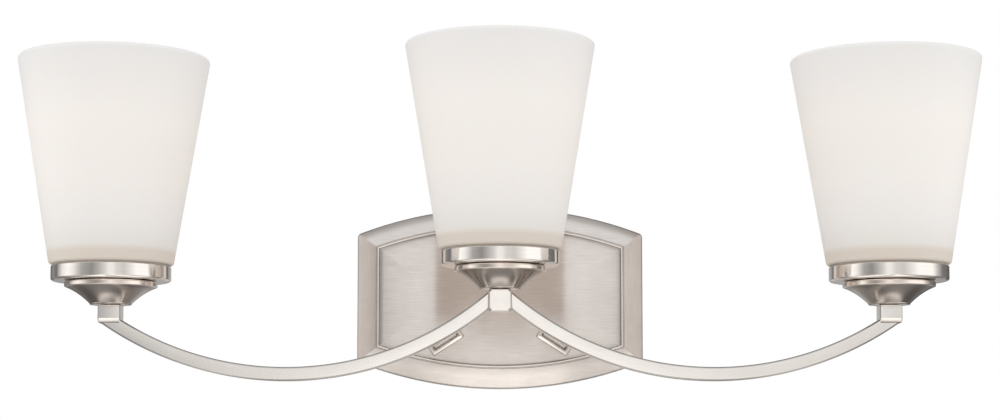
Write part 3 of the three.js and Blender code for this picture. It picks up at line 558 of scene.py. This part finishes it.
for side, sign in SIDES:
    start, stop = BLOCK_SIZE / 2 + SEAT_GAP, LAMP_SPACING + BLOCK_SIZE / 2 - ARM_TUCK
    ease = 1 - np.cos(np.linspace(0, np.pi / 2, 6))
    x = np.concatenate([start + BUTT_EDGE * ease, np.linspace(start + 0.8, stop - 8, 120),
                        np.linspace(stop - 7.8, stop - 1.3, 30), stop - ARM_EDGE * ease[::-1]])
    inset = fallen(x - start, BUTT_EDGE) + fallen(stop - x, ARM_EDGE)
    ring = rounded(ARM_SIZE - 2 * inset, ARM_SIZE - 2 * inset, ARM_EDGE)
    across, depth = ring[..., 0], ring[..., 1]
    z = arm_height(x[:, None], ARM_RADIUS + across)
    top, bottom = arm_height(x, ARM_RADIUS - ARM_SIZE / 2), arm_height(x, ARM_RADIUS + ARM_SIZE / 2)
    into = np.clip((x - (stop - ARM_END_ROUND)) / ARM_END_ROUND, 0, 1)
    turned_up = bottom[-1] + ARM_END_ROUND * (1 - np.sqrt(1 - into ** 2))
    kept = (top - np.where(into > 0, np.maximum(bottom, turned_up), bottom)) / (top - bottom)
    z = top[:, None] - (top[:, None] - z) * kept[:, None]
    z = np.where(x[:, None] > LAMP_SPACING - BLOCK_SIZE, np.minimum(z, SIDE_BASE - SEAT_GAP), z)
    rings = np.stack([np.broadcast_to(sign * x[:, None], z.shape), -LAMP_REACH + depth, z], -1)
    arm = skin(f"swept_arm_{side}", rings, grain="along")
    # Painted shade along the arm's rounded edges.
    shaded_edges(arm)
    dress(arm, satin, "satin_nickel", f"arm_{side}")


# Stems and centre block: half-inch square nickel-plated steel under each lamp. The stems straddle
# the arm ends and their feet slope back to the arm. The block has an arm against each side.

STEM_FACE, STEM_FOOT, ARM_HALF, STEM_EDGE = 8, 2.5, ARM_SIZE / 2, 0.5
BLOCK_EDGE, BLOCK_CORNER, BLOCK_FLAT = 0.6, 1.3, 1.1

foot, top = SIDE_BASE - STEM_FACE, SIDE_BASE - SEAT_GAP
for side, sign in SIDES:
    edge = eased([(0.5, foot - STEM_FOOT), (ARM_HALF, foot - STEM_FOOT),
                  (ARM_HALF * 0.4 + BLOCK_SIZE * 0.3, foot - STEM_FOOT * 0.4), (BLOCK_SIZE / 2, foot),
                  (BLOCK_SIZE / 2, top), (0.5, top)], [0, 0.25, 0, 0.45, 0.5, 0], closed=False)[1:-1]
    y_half, z = edge[:, 0], edge[:, 1]
    x_half = BLOCK_SIZE / 2 - fallen(np.minimum(z - z.min(), z.max() - z), STEM_EDGE)
    ring = rounded(2 * x_half, 2 * y_half, 0.6)
    rings = np.stack([ring[..., 0] + sign * LAMP_SPACING, ring[..., 1] - LAMP_REACH,
                      np.broadcast_to(z[:, None], ring.shape[:2])], -1)
    stem = skin(f"saddled_stem_{side}", rings)
    # Painted shade along the stem's rounded edges, darkest round its foot where it meets the arm.
    shaded_edges(stem, seam=range(7))
    dress(stem, satin, "satin_nickel", f"stem_{side}")

ease = BLOCK_EDGE * (1 - np.cos(np.linspace(0, np.pi / 2, 6)))
depth = np.concatenate([-BLOCK_SIZE / 2 + ease, BLOCK_SIZE / 2 - ease[::-1]])
inset = np.pad(fallen(BLOCK_SIZE / 2 - abs(depth), BLOCK_EDGE), 1, constant_values=BLOCK_FLAT)
depth = np.pad(depth, 1, "edge")
ring = rounded(BLOCK_SIZE - 2 * inset, BLOCK_SIZE - 2 * inset, BLOCK_CORNER)
block = skin("centre_square_block", rings_at(ring + [0, BLOCK_MIDDLE], depth - LAMP_REACH))
# Painted shade along the block's rounded edges and the rims of its front and back faces.
shaded_edges(block, (3, 4, -5, -4))
dress(block, satin, "satin_nickel", "centre_block")


# Necks and cups: a flared casting stands on each stem and carries a shallow spun cup with an
# upright band. Both are turned, polished and nickel plated, and meet at a thin step ring.

LAMPS = [(side, (x, -LAMP_REACH, base)) for side, x, base in (
    ("left", -LAMP_SPACING, SIDE_BASE), ("centre", 0, CENTRE_BASE), ("right", LAMP_SPACING, SIDE_BASE))]
NECK_FOOT, NECK_FLARE, NECK_TOP, STEP_RADIUS = 11.9, 9.9, 13, 26.3
NECK_HOLE, NECK_FLOOR, NECK_MOUTH, NECK_SIDES = 5.2, 1.7, 24, 144
CUP_BASE, CUP_RIM, CUP_RADIUS, CUP_SHEET, CUP_HOLE = 13.3, 21.7, 34, 1.2, 19.1

s = np.linspace(0, 1, 20)[:, None]
flare, inner_flare = ((1 - s) ** 2 * first + 2 * s * (1 - s) * middle + s ** 2 * last
                      for first, middle, last in np.array([
                          [(NECK_FOOT, 0.6), (18.5, 7.2), (STEP_RADIUS - 0.7, NECK_FLARE)],
                          [(NECK_MOUTH, NECK_TOP), (16.8, 8.9), (10.2, NECK_FLOOR)]]))
step_ring = eased([(STEP_RADIUS - 0.7, NECK_FLARE), (STEP_RADIUS, NECK_FLARE + 0.25),
                   (STEP_RADIUS, NECK_TOP), (NECK_MOUTH, NECK_TOP)], [0, 0.3, 0.9, 0], closed=False)
neck_foot = eased([(NECK_HOLE, 0), (NECK_FOOT, 0), (NECK_FOOT + 0.1, 0.6)], [0, 0.35, 0], closed=False)
neck_profile = np.concatenate([
    neck_foot[:-1], flare[:-1], step_ring, inner_flare[1:], [(NECK_HOLE, NECK_FLOOR)]])
cup_profile = eased([(CUP_HOLE, CUP_BASE), (CUP_RADIUS, CUP_BASE), (CUP_RADIUS, CUP_RIM),
                     (CUP_RADIUS - CUP_SHEET, CUP_RIM), (CUP_RADIUS - CUP_SHEET, CUP_BASE + CUP_SHEET),
                     (CUP_HOLE, CUP_BASE + CUP_SHEET)], [0.1, 1.5, 0.55, 0.4, 0.6, 0.1], steps=10)

# Nickel turned on a lathe and left with its fine rings: reflections run up and down the band.
turned_nickel = grained_nickel("lathe-brushed nickel", "#f2eeea", "#e9e4e0", 0.12, 0.8, 30, 0.3, 0.06)
# Buffed nickel with painted shade over the flare and round the foot, the step ring left unshaded.
buffed = grained_nickel("buffed nickel", "#f4ebe4", "#eadfd6", 0.18, 0.3, 25, 0.5, 0.04, painted_shade=(
    (0, 0.45), (1, 0.45), (4, 1), (12, 1), (16, 0.3)))
# Places on that scale of painted shade: the flare at 0, the step ring at 5 and the foot at 19.
on_foot = (neck_profile[:, 1] < 0.5) & (neck_profile[:, 0] > 11)
neck_part = np.where(neck_profile[:, 0] > STEP_RADIUS - 0.75, 5, np.where(on_foot, 19, 0))
for side, place in LAMPS:
    neck = turned(f"flared_neck_{side}", neck_profile, place, NECK_SIDES, meet=True)
    pressed(neck, np.repeat(neck_part, NECK_SIDES))
    dress(neck, buffed, "polished_nickel", f"neck_{side}")
    cup = turned(f"spun_cup_{side}", cup_profile, place, 160, meet=True)
    dress(cup, turned_nickel, "polished_nickel", f"cup_{side}")


# Nipple, locknut, socket, screw shell and contact: the threaded tube from the stem is clamped by
# a brass nut and carries a moulded socket with a coarse outside thread and a rolled metal shell.

NIPPLE_BORE, NIPPLE_RADIUS, NIPPLE_LOW, NIPPLE_TOP, NUT_LOW, NUT_HIGH = 3.7, 4.85, -4, 14, 2, 4.2
SOCKET_HOLE, SOCKET_HUB, SOCKET_BORE, SOCKET_RADIUS = 5.15, 9, 14.4, 18.5
SOCKET_BASE, SOCKET_SHOULDER, SOCKET_FLOOR, SOCKET_TOP = 4.5, 10.1, 19.2, 49.5
THREAD_RADIUS, THREAD_LOW, THREAD_HIGH = 19.9, 14.8, 29.8
SHELL_BORE, SHELL_RADIUS, SHELL_LOW, SHELL_HIGH, SHELL_PITCH = 13.6, 14.1, 21.6, 47.9, 3.63
NUT_FLAT, NUT_CORNER, LEAF_WIDTH, LEAF_SHEET = 6.75, 7.79, 7, 0.55


def thread(pitch, depth, low, high, least, most):
    """Ripple of a right-hand thread between two heights, on radii from least to most, faded over half a
    pitch at each end: -depth (1 - cos(2 pi (h/pitch - t/2 pi))) / 2."""
    def ripple(t, r, h):
        wave = (1 - np.cos(2 * np.pi * h / pitch - t)) / 2
        fade = np.clip(np.minimum(h - low, high - h) / (pitch / 2), 0, 1)
        return -depth * wave * fade * ((r > least) & (r < most))
    return ripple


def six_flats(t, r, h):
    """Ripple of a hexagon, a/cos(t) within 30 degrees of each flat, its corners chamfered at both faces."""
    flat_radius = NUT_FLAT / np.cos((t + np.pi / 6) % (np.pi / 3) - np.pi / 6)
    chamfer = NUT_FLAT + 0.15 + np.clip(np.minimum(h - NUT_LOW, NUT_HIGH - h) * 1.7, 0, 2)
    return np.where(r > 5.2, np.minimum(np.minimum(flat_radius, chamfer), r) - r, 0)


def filled(profile, step):
    """The profile with points no further apart than a step along its length."""
    profile = np.asarray(profile, float)
    length = np.concatenate([[0], np.cumsum(np.linalg.norm(np.diff(profile, axis=0), axis=1))])
    at = np.unique(np.concatenate([length, np.arange(0, length[-1], step)]))
    return np.stack([np.interp(at, length, profile[:, 0]), np.interp(at, length, profile[:, 1])], -1)


def tube(bore, radius, low, high, step):
    """Profile of a plain tube, with points no further apart than a step."""
    return filled([(bore, low), (radius, low), (radius, high), (bore, high), (bore, low)], step)[:-1]


# Black phenolic, compression moulded: dark brown-black, dull, faintly speckled by its filler.
phenolic = speckled(MOULDED, "black phenolic", "#2c2824", "#1e1b18", 0.42, 0.6)
# Yellow brass, turned or stamped and left bright.
brass = speckled(METAL, "bright brass", "#cfae66", "#b8934c", 0.3, 3)
# Thin aluminium rolled with a lamp thread.
aluminium = speckled(METAL, "rolled aluminium", "#cfd1d3", "#bcbfc2", 0.32, 4)

nipple_profile = tube(NIPPLE_BORE, NIPPLE_RADIUS, NIPPLE_LOW, NIPPLE_TOP, 0.2)
nut_profile = tube(SOCKET_HOLE, NUT_CORNER, NUT_LOW, NUT_HIGH, 0.4)
socket_profile = eased([
    (SOCKET_HOLE, SOCKET_BASE), (SOCKET_HUB, SOCKET_BASE), (SOCKET_HUB, SOCKET_SHOULDER),
    (SOCKET_RADIUS, SOCKET_SHOULDER), (SOCKET_RADIUS, THREAD_LOW), (THREAD_RADIUS, THREAD_LOW),
    (THREAD_RADIUS, THREAD_HIGH), (SOCKET_RADIUS, THREAD_HIGH), (SOCKET_RADIUS, SOCKET_TOP),
    (SOCKET_BORE, SOCKET_TOP), (SOCKET_BORE, SOCKET_FLOOR), (SOCKET_HOLE, SOCKET_FLOOR),
], [0.1, 0.5, 0.4, 0.8, 0.1, 0.3, 0.3, 0.2, 1, 0.6, 0.4, 0.1])
socket_profile = filled([*socket_profile, (SOCKET_HOLE, SOCKET_BASE)], 0.35)[:-1]
shell_profile = tube(SHELL_BORE, SHELL_RADIUS, SHELL_LOW, SHELL_HIGH, 0.3)
tongue = eased([(-5.5, 19.8), (5.2, 19.8), (5.2, 21.9), (-2.75, 21.9)], [0, 0.7, 0.7, 0],
               closed=False, steps=8)
leaf = rounded(np.full(len(tongue), LEAF_SHEET), LEAF_WIDTH, 0.12, 3)
leaf = swept(tongue, leaf)[..., [2, 0, 1]]

INSIDE = (
    ("threaded_nipple", "nipple", nipple_profile, 40, thread(0.95, 0.35, NIPPLE_LOW, NIPPLE_TOP, 4, 6),
     zinc, "zinc_steel"),
    ("hexagon_locknut", "locknut", nut_profile, 96, six_flats, brass, "brass"),
    ("moulded_socket", "socket", socket_profile, 96, thread(2.8, 0.75, THREAD_LOW, THREAD_HIGH, 19.3, 21),
     phenolic, "phenolic"),
    ("rolled_screw_shell", "screw_shell", shell_profile, 72,
     thread(SHELL_PITCH, 0.35, SHELL_LOW, SHELL_HIGH, 13, 15), aluminium, "shell_aluminium"),
)
for side, place in LAMPS:
    for name, node, profile, sides, ripple, material, slot in INSIDE:
        piece = turned(f"{name}_{side}", profile, place, sides, meet=True, ripple=ripple)
        dress(piece, material, slot, f"{node}_{side}")
    contact = skin(f"spring_contact_{side}", leaf + place, grain="along")
    dress(contact, brass, "brass", f"centre_contact_{side}")


# Shade rings: a moulded ring with finger grips runs down the socket's outside thread and holds
# the shade's floor against the cup.

RING_LOW, RING_LIP, RING_HEIGHT, RING_BORE, RING_RADIUS, RING_HUB = 19.1, 2.4, 6.3, 20.2, 27, 23.6
GRIP_DEPTH, GRIP_PAIRS = 0.9, 18


def finger_grips(t, r, h):
    """Ripple of scallops round the lip: -depth (1 - |cos(n t)|) on its outside."""
    return np.where(r > RING_RADIUS - 1.5, -GRIP_DEPTH * (1 - np.abs(np.cos(GRIP_PAIRS * t))), 0)


ring_profile = filled(eased([
    (RING_BORE, RING_LOW), (RING_RADIUS, RING_LOW), (RING_RADIUS, RING_LOW + RING_LIP),
    (RING_HUB, RING_LOW + RING_LIP), (RING_HUB, RING_LOW + RING_HEIGHT), (RING_BORE, RING_LOW + RING_HEIGHT),
], [0.2, 0.5, 0.5, 0.5, 0.6, 0.3]), 0.6)
for side, place in LAMPS:
    shade_ring = turned(f"threaded_shade_ring_{side}", ring_profile, place, 180, meet=True,
                        ripple=finger_grips)
    dress(shade_ring, phenolic, "phenolic", f"shade_ring_{side}", body=f"{side}_ring")


# Shades: blown opal glass, 4 mm thick, acid etched on the outside, with a straight cone, a round
# shoulder that sits in the cup and a fire-polished lip. Its colour paints a lamp's warm glow in the middle.

SHADE_BASE, SHADE_TOP, SHADE_RIM, SHADE_WALL, SHADE_HOLE = 14.8, 142.2, 54.6, 4, 20.5
SHADE_FOOT, SHADE_SHOULDER, SHADE_REACH = 32.2, 35.3, 150
OPAL_GRIT, OPAL_HAZE = 1 / 2.2, 1000 / 22


def opal_glass(name, place):
    """Etched opal glass of one shade, with painted light by height from its own neck: painted shade over the
    cup, where no light comes through, a painted warm glow beside the lamp, and cooler towards the lip."""
    made, tree, here = blank_material(name)
    local = add(tree, "Mapping", {"Location": [-MM * k for k in place]}, {"Vector": here})
    parts = add(tree, "SeparateXYZ", links={"Vector": local})
    height = add(tree, "MapRange", {"From Min": 0, "From Max": SHADE_REACH * MM},
                 {"Value": parts.outputs["Z"]})
    # Painted light: darker up to just above the cup's rim, palest and warmest beside the lamp.
    stops = [(0, "#dcd2c8"), (0.19, "#e0d6cb"), (0.212, "#ece8e3"), (0.3, "#f4f0ed"), (0.45, "#fbf5f0"),
             (0.68, "#fcf6f1"), (0.85, "#f3f0ee"), (0.955, "#eeedec")]
    body = add(tree, "ValToRGB", {"stops": [(at, linear(colour)) for at, colour in stops]}, {"Fac": height})
    grit = add(tree, "TexNoise", {"Scale": 1000 / OPAL_GRIT, "Detail": 2}, {"Vector": here})
    haze = add(tree, "TexNoise", {"Scale": 1000 / OPAL_HAZE, "Detail": 2}, {"Vector": here})
    rough = add(tree, "MapRange", {"To Min": 0.42, "To Max": 0.6}, {"Value": haze})
    lift = add(tree, "Bump", {"Strength": 0.08, "Distance": 0.03 * MM}, {"Height": grit})
    glass = add(tree, "BsdfPrincipled",
                {"IOR": 1.5, "Specular IOR Level": 0.12, "Subsurface Weight": 0.2,
                 "Subsurface Radius": (1, 0.8, 0.6), "Subsurface Scale": SHADE_WALL * MM},
                {"Base Color": body, "Roughness": rough, "Normal": lift})
    add(tree, "OutputMaterial", links={"Surface": glass})
    return made


shade_profile = eased([
    (SHADE_HOLE, SHADE_BASE), (SHADE_FOOT, SHADE_BASE), (SHADE_FOOT, 22.5), (SHADE_SHOULDER, 23.1),
    (SHADE_RIM + 0.32, SHADE_TOP), (SHADE_RIM - SHADE_WALL, SHADE_TOP), (31.4, 23.4),
    (SHADE_FOOT - SHADE_WALL, SHADE_BASE + SHADE_WALL), (SHADE_HOLE, SHADE_BASE + SHADE_WALL),
], [0.3, 1.4, 0.8, 1.8, 2.1, 2.1, 5, 3, 0.3], steps=12)
shade_profile = filled([*shade_profile, (SHADE_HOLE, SHADE_BASE)], 4)[:-1]
for side, place in LAMPS:
    shade = turned(f"opal_shade_{side}", shade_profile, place, 192, meet=True)
    opal = opal_glass(f"etched opal glass {side}", place)
    dress(shade, opal, "opal_glass", f"shade_{side}", body=f"{side}_shade")


# Bulbs: a frosted pear-shaped lamp with a rolled aluminium screw cap, a black glass insulator and
# a soldered tip, in each socket.

TIP_BASE, TIP_TOP, TIP_RADIUS = 22.5, 23.6, 4.2
INSULATOR_BASE, INSULATOR_TOP, INSULATOR_RADIUS = 23.2, 26.3, 10.2
CAP_RADIUS, CAP_BASE, CAP_TOP, BULB_NECK, BULB_TOP, BULB_RADIUS, BULB_WALL = 13, 26, 50, 14.5, 130.5, 30, 1

cap_profile = filled(eased([
    (0, CAP_BASE), (10.5, CAP_BASE), (CAP_RADIUS, CAP_BASE + 1.6), (CAP_RADIUS, CAP_TOP - 1.4),
    (CAP_RADIUS, CAP_TOP), (0, CAP_TOP)], [0, 0.8, 0.8, 0.5, 0.3, 0], closed=False), 0.35)
insulator_profile = eased([(0, INSULATOR_BASE), (5, INSULATOR_BASE), (INSULATOR_RADIUS, INSULATOR_TOP),
                           (0, INSULATOR_TOP)], [0, 0.8, 0.4, 0], closed=False)
tip_profile = eased([(0, TIP_BASE), (TIP_RADIUS, TIP_BASE), (TIP_RADIUS, TIP_TOP), (0, TIP_TOP)],
                    [0, 0.6, 0.1, 0], closed=False)
s = np.linspace(0, 1, 24)[:, None]
low, middle = CAP_TOP + SEAT_GAP, BULB_TOP - BULB_RADIUS


def bulb_section(inset):
    """Half section of the glass: a cubic curve from its neck to its widest ring, then a quarter circle."""
    neck, wide = BULB_NECK - inset, BULB_RADIUS - inset
    flank = ((1 - s) ** 3 * [neck, low] + 3 * s * (1 - s) ** 2 * [neck, low + 15]
             + 3 * s ** 2 * (1 - s) * [wide, middle - 30] + s ** 3 * [wide, middle])
    turn = np.linspace(0, np.pi / 2, 20)[1:]
    crown = np.stack([wide * np.cos(turn), middle + wide * np.sin(turn)], -1)
    crown[-1, 0] = 0
    return np.concatenate([flank, crown])


# Soda glass, frosted inside and white coated: soft white with a slight gloss outside.
frosted = speckled(MOULDED, "frosted lamp glass", "#f7f5f0", "#f2f0ea", 0.3, 1.5)
# Black glass that fills the cap round the tip.
black_glass = speckled(MOULDED, "black insulating glass", "#151515", "#0d0d0d", 0.15, 2)

globe_profile = np.concatenate([bulb_section(BULB_WALL)[::-1], bulb_section(0)])
cap_thread = thread(SHELL_PITCH, 0.7, 27.8, 47.6, 12, 14)
for side, place in LAMPS:
    body = f"{side}_bulb"
    cap = turned(f"bulb_screw_cap_{side}", cap_profile, place, ripple=cap_thread)
    dress(cap, aluminium, "shell_aluminium", f"bulb_cap_{side}", body=body)
    dress(turned(f"bulb_insulator_{side}", insulator_profile, place, 64), black_glass, "phenolic", body=body)
    dress(turned(f"bulb_tip_{side}", tip_profile, place, 48), brass, "brass", body=body)
    globe = turned(f"bulb_globe_{side}", globe_profile, place)
    dress(globe, frosted, "frosted_glass", f"bulb_glass_{side}", body=body)


# Studio: a pale floor under the light and two soft windows at its sides. A grey tent, floor tone,
# flags and card are there for the reflections alone, darker behind the light.

FLOOR_HEIGHT, FLOOR_REACH, FLOOR_SIDES = -420, 1600, 64
FLOOR_BACK, FLOOR_FRONT = 1000, -1500
TENT_RADIUS, TENT_LOW, TENT_HIGH, TENT_SIDES, CEILING_FRONT = 1500, FLOOR_HEIGHT, 760, 96, -130
FLAG_PLACE, FLAG_FRONT, FLAG_BACK, FLAG_HALF = 108, -50, -14, 80
CARD_DEPTH, CARD_HALF, CARD_LOW, CARD_HIGH = 45, 40, -12, 100


def floor_finish():
    """Matt pale board: mid tone inside 600 mm of the middle, white beyond 1500 mm. Reflections see a warm
    grey instead, with bright strips 210 to 310 mm and 40 to 90 mm in front of the wall, brightest in the
    middle and 280 to 360 mm to either side."""
    made, tree, here = blank_material("matt pale board")
    reach = add(tree, "VectorMath", {"operation": "LENGTH"}, {0: here})
    fade = add(tree, "MapRange", {"From Min": 0.6, "From Max": 1.5, "interpolation_type": "SMOOTHSTEP"},
               {"Value": reach.outputs["Value"]})
    board = add(tree, "BsdfDiffuse", {"Color": linear("#d6d4d0")})
    glow = add(tree, "Emission", {"Color": (1, 1, 1, 1), "Strength": 1})
    pale = add(tree, "MixShader", links={0: fade, 1: board, 2: glow})
    parts = add(tree, "SeparateXYZ", links={"Vector": here})
    depth = add(tree, "MapRange", {"From Min": FLOOR_FRONT * MM, "From Max": FLOOR_BACK * MM},
                {"Value": parts.outputs["Y"]})
    tones = [(-1500, 0.85), (-750, 0.75), (-525, 0.4), (-400, 0.42), (-312.5, 0.95), (-212.5, 1),
             (-175, 0.5), (-110, 0.45), (-90, 1), (-40, 1), (-20, 0.3), (250, 0.25), (500, 0.3),
             (1000, 0.45)]
    stops = [((at - FLOOR_FRONT) / (FLOOR_BACK - FLOOR_FRONT), (tone, tone * 0.96, tone * 0.92, 1))
             for at, tone in tones]
    warm = add(tree, "ValToRGB", {"stops": stops}, {"Fac": depth})
    aside = add(tree, "Math", {"operation": "ABSOLUTE"}, {0: parts.outputs["X"]})
    under = [(0, 1), (100, 1), (160, 0.55), (210, 0.65), (280, 1), (360, 1), (500, 0.45)]
    stops = [(at * MM, (tone, tone, tone, 1)) for at, tone in under]
    lit = add(tree, "ValToRGB", {"stops": stops}, {"Fac": aside})
    power = add(tree, "Math", {"operation": "MULTIPLY", 1: 1.75}, {0: lit})
    tone = add(tree, "Emission", links={"Color": warm, "Strength": power})
    rays = add(tree, "LightPath")
    both = add(tree, "MixShader", links={0: rays.outputs["Is Glossy Ray"], 1: pale, 2: tone})
    add(tree, "OutputMaterial", links={"Surface": both})
    return made


def stage_mesh(name, points, material, faces=((0, 1, 2, 3),)):
    """Stage piece from points in millimetres, one sheet of four corners unless its faces are given."""
    piece = mesh_piece(name, np.asarray(points, float) * MM, faces)
    piece.data.materials.append(material)
    return piece


def even_tone(name, colour):
    """Cloth or card of one tone in the reflections, whatever light falls on it."""
    made, tree, _ = blank_material(name)
    glow = add(tree, "Emission", {"Color": linear(colour), "Strength": 1})
    add(tree, "OutputMaterial", links={"Surface": glow})
    return made


stage_mesh("studio_floor", circle(FLOOR_REACH, FLOOR_SIDES, FLOOR_HEIGHT), floor_finish(),
           [tuple(range(FLOOR_SIDES))])

# Grey and white cloths of the tent, by the share of a half turn from the front, below 0 on the left.
tent_cloth, tree, here = blank_material("grey tent cloth")
parts = add(tree, "SeparateXYZ", links={"Vector": here})
forward = add(tree, "Math", {"operation": "MULTIPLY", 1: -1}, {0: parts.outputs["Y"]})
angle = add(tree, "Math", {"operation": "ARCTAN2"}, {0: parts.outputs["X"], 1: forward})
share = add(tree, "MapRange", {"From Min": -np.pi, "From Max": np.pi}, {"Value": angle})
tones = [(-1, .42), (-.88, .3), (-.8, .08), (-.7, .25), (-.6, .15), (-.5, .8), (-.43, 1), (-.37, .85),
         (-.28, .38), (-.18, .26), (-.12, .42), (-.06, .62), (-.02, .84), (.02, .84), (.06, .66), (.14, .58),
         (.22, .8), (.28, 1), (.43, 1), (.5, .5), (.58, .18), (.7, .13), (.82, .08), (.88, .3), (1, .42)]
stops = [((at + 1) / 2, (tone, tone * 0.98, tone * 0.96, 1)) for at, tone in tones]
cloth = add(tree, "ValToRGB", {"stops": stops}, {"Fac": share})
glow = add(tree, "Emission", {"Strength": 1.2}, {"Color": cloth})
add(tree, "OutputMaterial", links={"Surface": glow})
wall = np.concatenate([circle(TENT_RADIUS, TENT_SIDES, z) for z in (TENT_LOW, TENT_HIGH)])
k = np.arange(TENT_SIDES)
after = (k + 1) % TENT_SIDES
tent = stage_mesh("tent_wall", wall, tent_cloth,
                  np.stack([k, after, after + TENT_SIDES, k + TENT_SIDES], -1).tolist())
roof = stage_mesh("tent_roof", [(-1450, CEILING_FRONT, TENT_HIGH), (1450, CEILING_FRONT, TENT_HIGH),
                                (900, 1150, TENT_HIGH), (-900, 1150, TENT_HIGH)],
                  even_tone("dark tent roof", "#6a6561"))

# Two narrow grey flags stand beside the plate for its side bevels to mirror, and a warm grey card
# stands behind the middle shade, which the panel mirrors as the shade's own shadow.
flag_card = even_tone("grey flag card", "#dcd4ce")
flags = [stage_mesh(f"grey_flag_{side}", [(sign * FLAG_PLACE, y, z) for y, z in (
    (FLAG_FRONT, -FLAG_HALF), (FLAG_BACK, -FLAG_HALF), (FLAG_BACK, FLAG_HALF), (FLAG_FRONT, FLAG_HALF))],
                    flag_card) for side, sign in SIDES]
card = stage_mesh("warm_card", [(x, -CARD_DEPTH, z) for x, z in (
    (-CARD_HALF, CARD_LOW), (CARD_HALF, CARD_LOW), (CARD_HALF, CARD_HIGH), (-CARD_HALF, CARD_HIGH))],
                  even_tone("warm grey card", "#c6b9b0"))
for piece in (tent, roof, card, *flags):
    piece.visible_camera = piece.visible_diffuse = piece.visible_shadow = piece.visible_transmission = False

world = bpy.data.worlds.new("white studio")
bpy.context.scene.world = world
world.use_nodes = True
tree = world.node_tree
tree.nodes.clear()
rays = add(tree, "LightPath")
seen = add(tree, "Math", {"operation": "MAXIMUM"},
           {0: rays.outputs["Is Camera Ray"], 1: rays.outputs["Is Glossy Ray"]})
seen = add(tree, "Math", {"operation": "MAXIMUM"}, {0: seen, 1: rays.outputs["Is Transmission Ray"]})
white = add(tree, "Background", {"Color": (1, 1, 1, 1), "Strength": 1})
fill = add(tree, "Background", {"Color": (1, 1, 1, 1), "Strength": 0.96})
both = add(tree, "MixShader", links={0: seen, 1: fill, 2: white})
add(tree, "OutputWorld", links={"Surface": both})

WINDOW_ANGLE, WINDOW_REACH, WINDOW_HEIGHT = np.radians(70), 2600, 700
WINDOW_WIDTH, WINDOW_RISE, WINDOW_POWER = 1400, 1400, 3.5
for side, sign in SIDES:
    window = bpy.data.lights.new(f"soft window {side}", "AREA")
    window.shape, window.energy = "RECTANGLE", WINDOW_POWER
    window.size, window.size_y = WINDOW_WIDTH * MM, WINDOW_RISE * MM
    holder = bpy.data.objects.new(f"soft window {side}", window)
    aside, ahead = sign * WINDOW_REACH * np.sin(WINDOW_ANGLE), -WINDOW_REACH * np.cos(WINDOW_ANGLE)
    holder.location = (aside * MM, ahead * MM, WINDOW_HEIGHT * MM)
    holder.rotation_euler = (np.pi / 2, 0, sign * WINDOW_ANGLE)
    holder.visible_glossy = False
    bpy.context.scene.collection.objects.link(holder)


# Camera: in front of the middle of the bar, a little below it and tipped up at it, as in the
# photograph. The shift is the part of the framing that tipping alone doesn't give.

CAMERA_REACH, CAMERA_DROP, CAMERA_TIP, CAMERA_SHIFT, FOCAL_LENGTH = 1350, 104, np.radians(5.15), 0.061, 78.59

lens = bpy.data.cameras.new("camera")
lens.sensor_width, lens.lens, lens.shift_y = 36, FOCAL_LENGTH, CAMERA_SHIFT
lens.clip_start, lens.clip_end = 0.01, 50
camera = bpy.data.objects.new("camera", lens)
camera.location = (0, -CAMERA_REACH * MM, -CAMERA_DROP * MM)
camera.rotation_euler = (np.pi / 2 + CAMERA_TIP, 0, 0)
bpy.context.scene.collection.objects.link(camera)
bpy.context.scene.camera = camera

bpy.context.scene.view_settings.view_transform = "Standard"
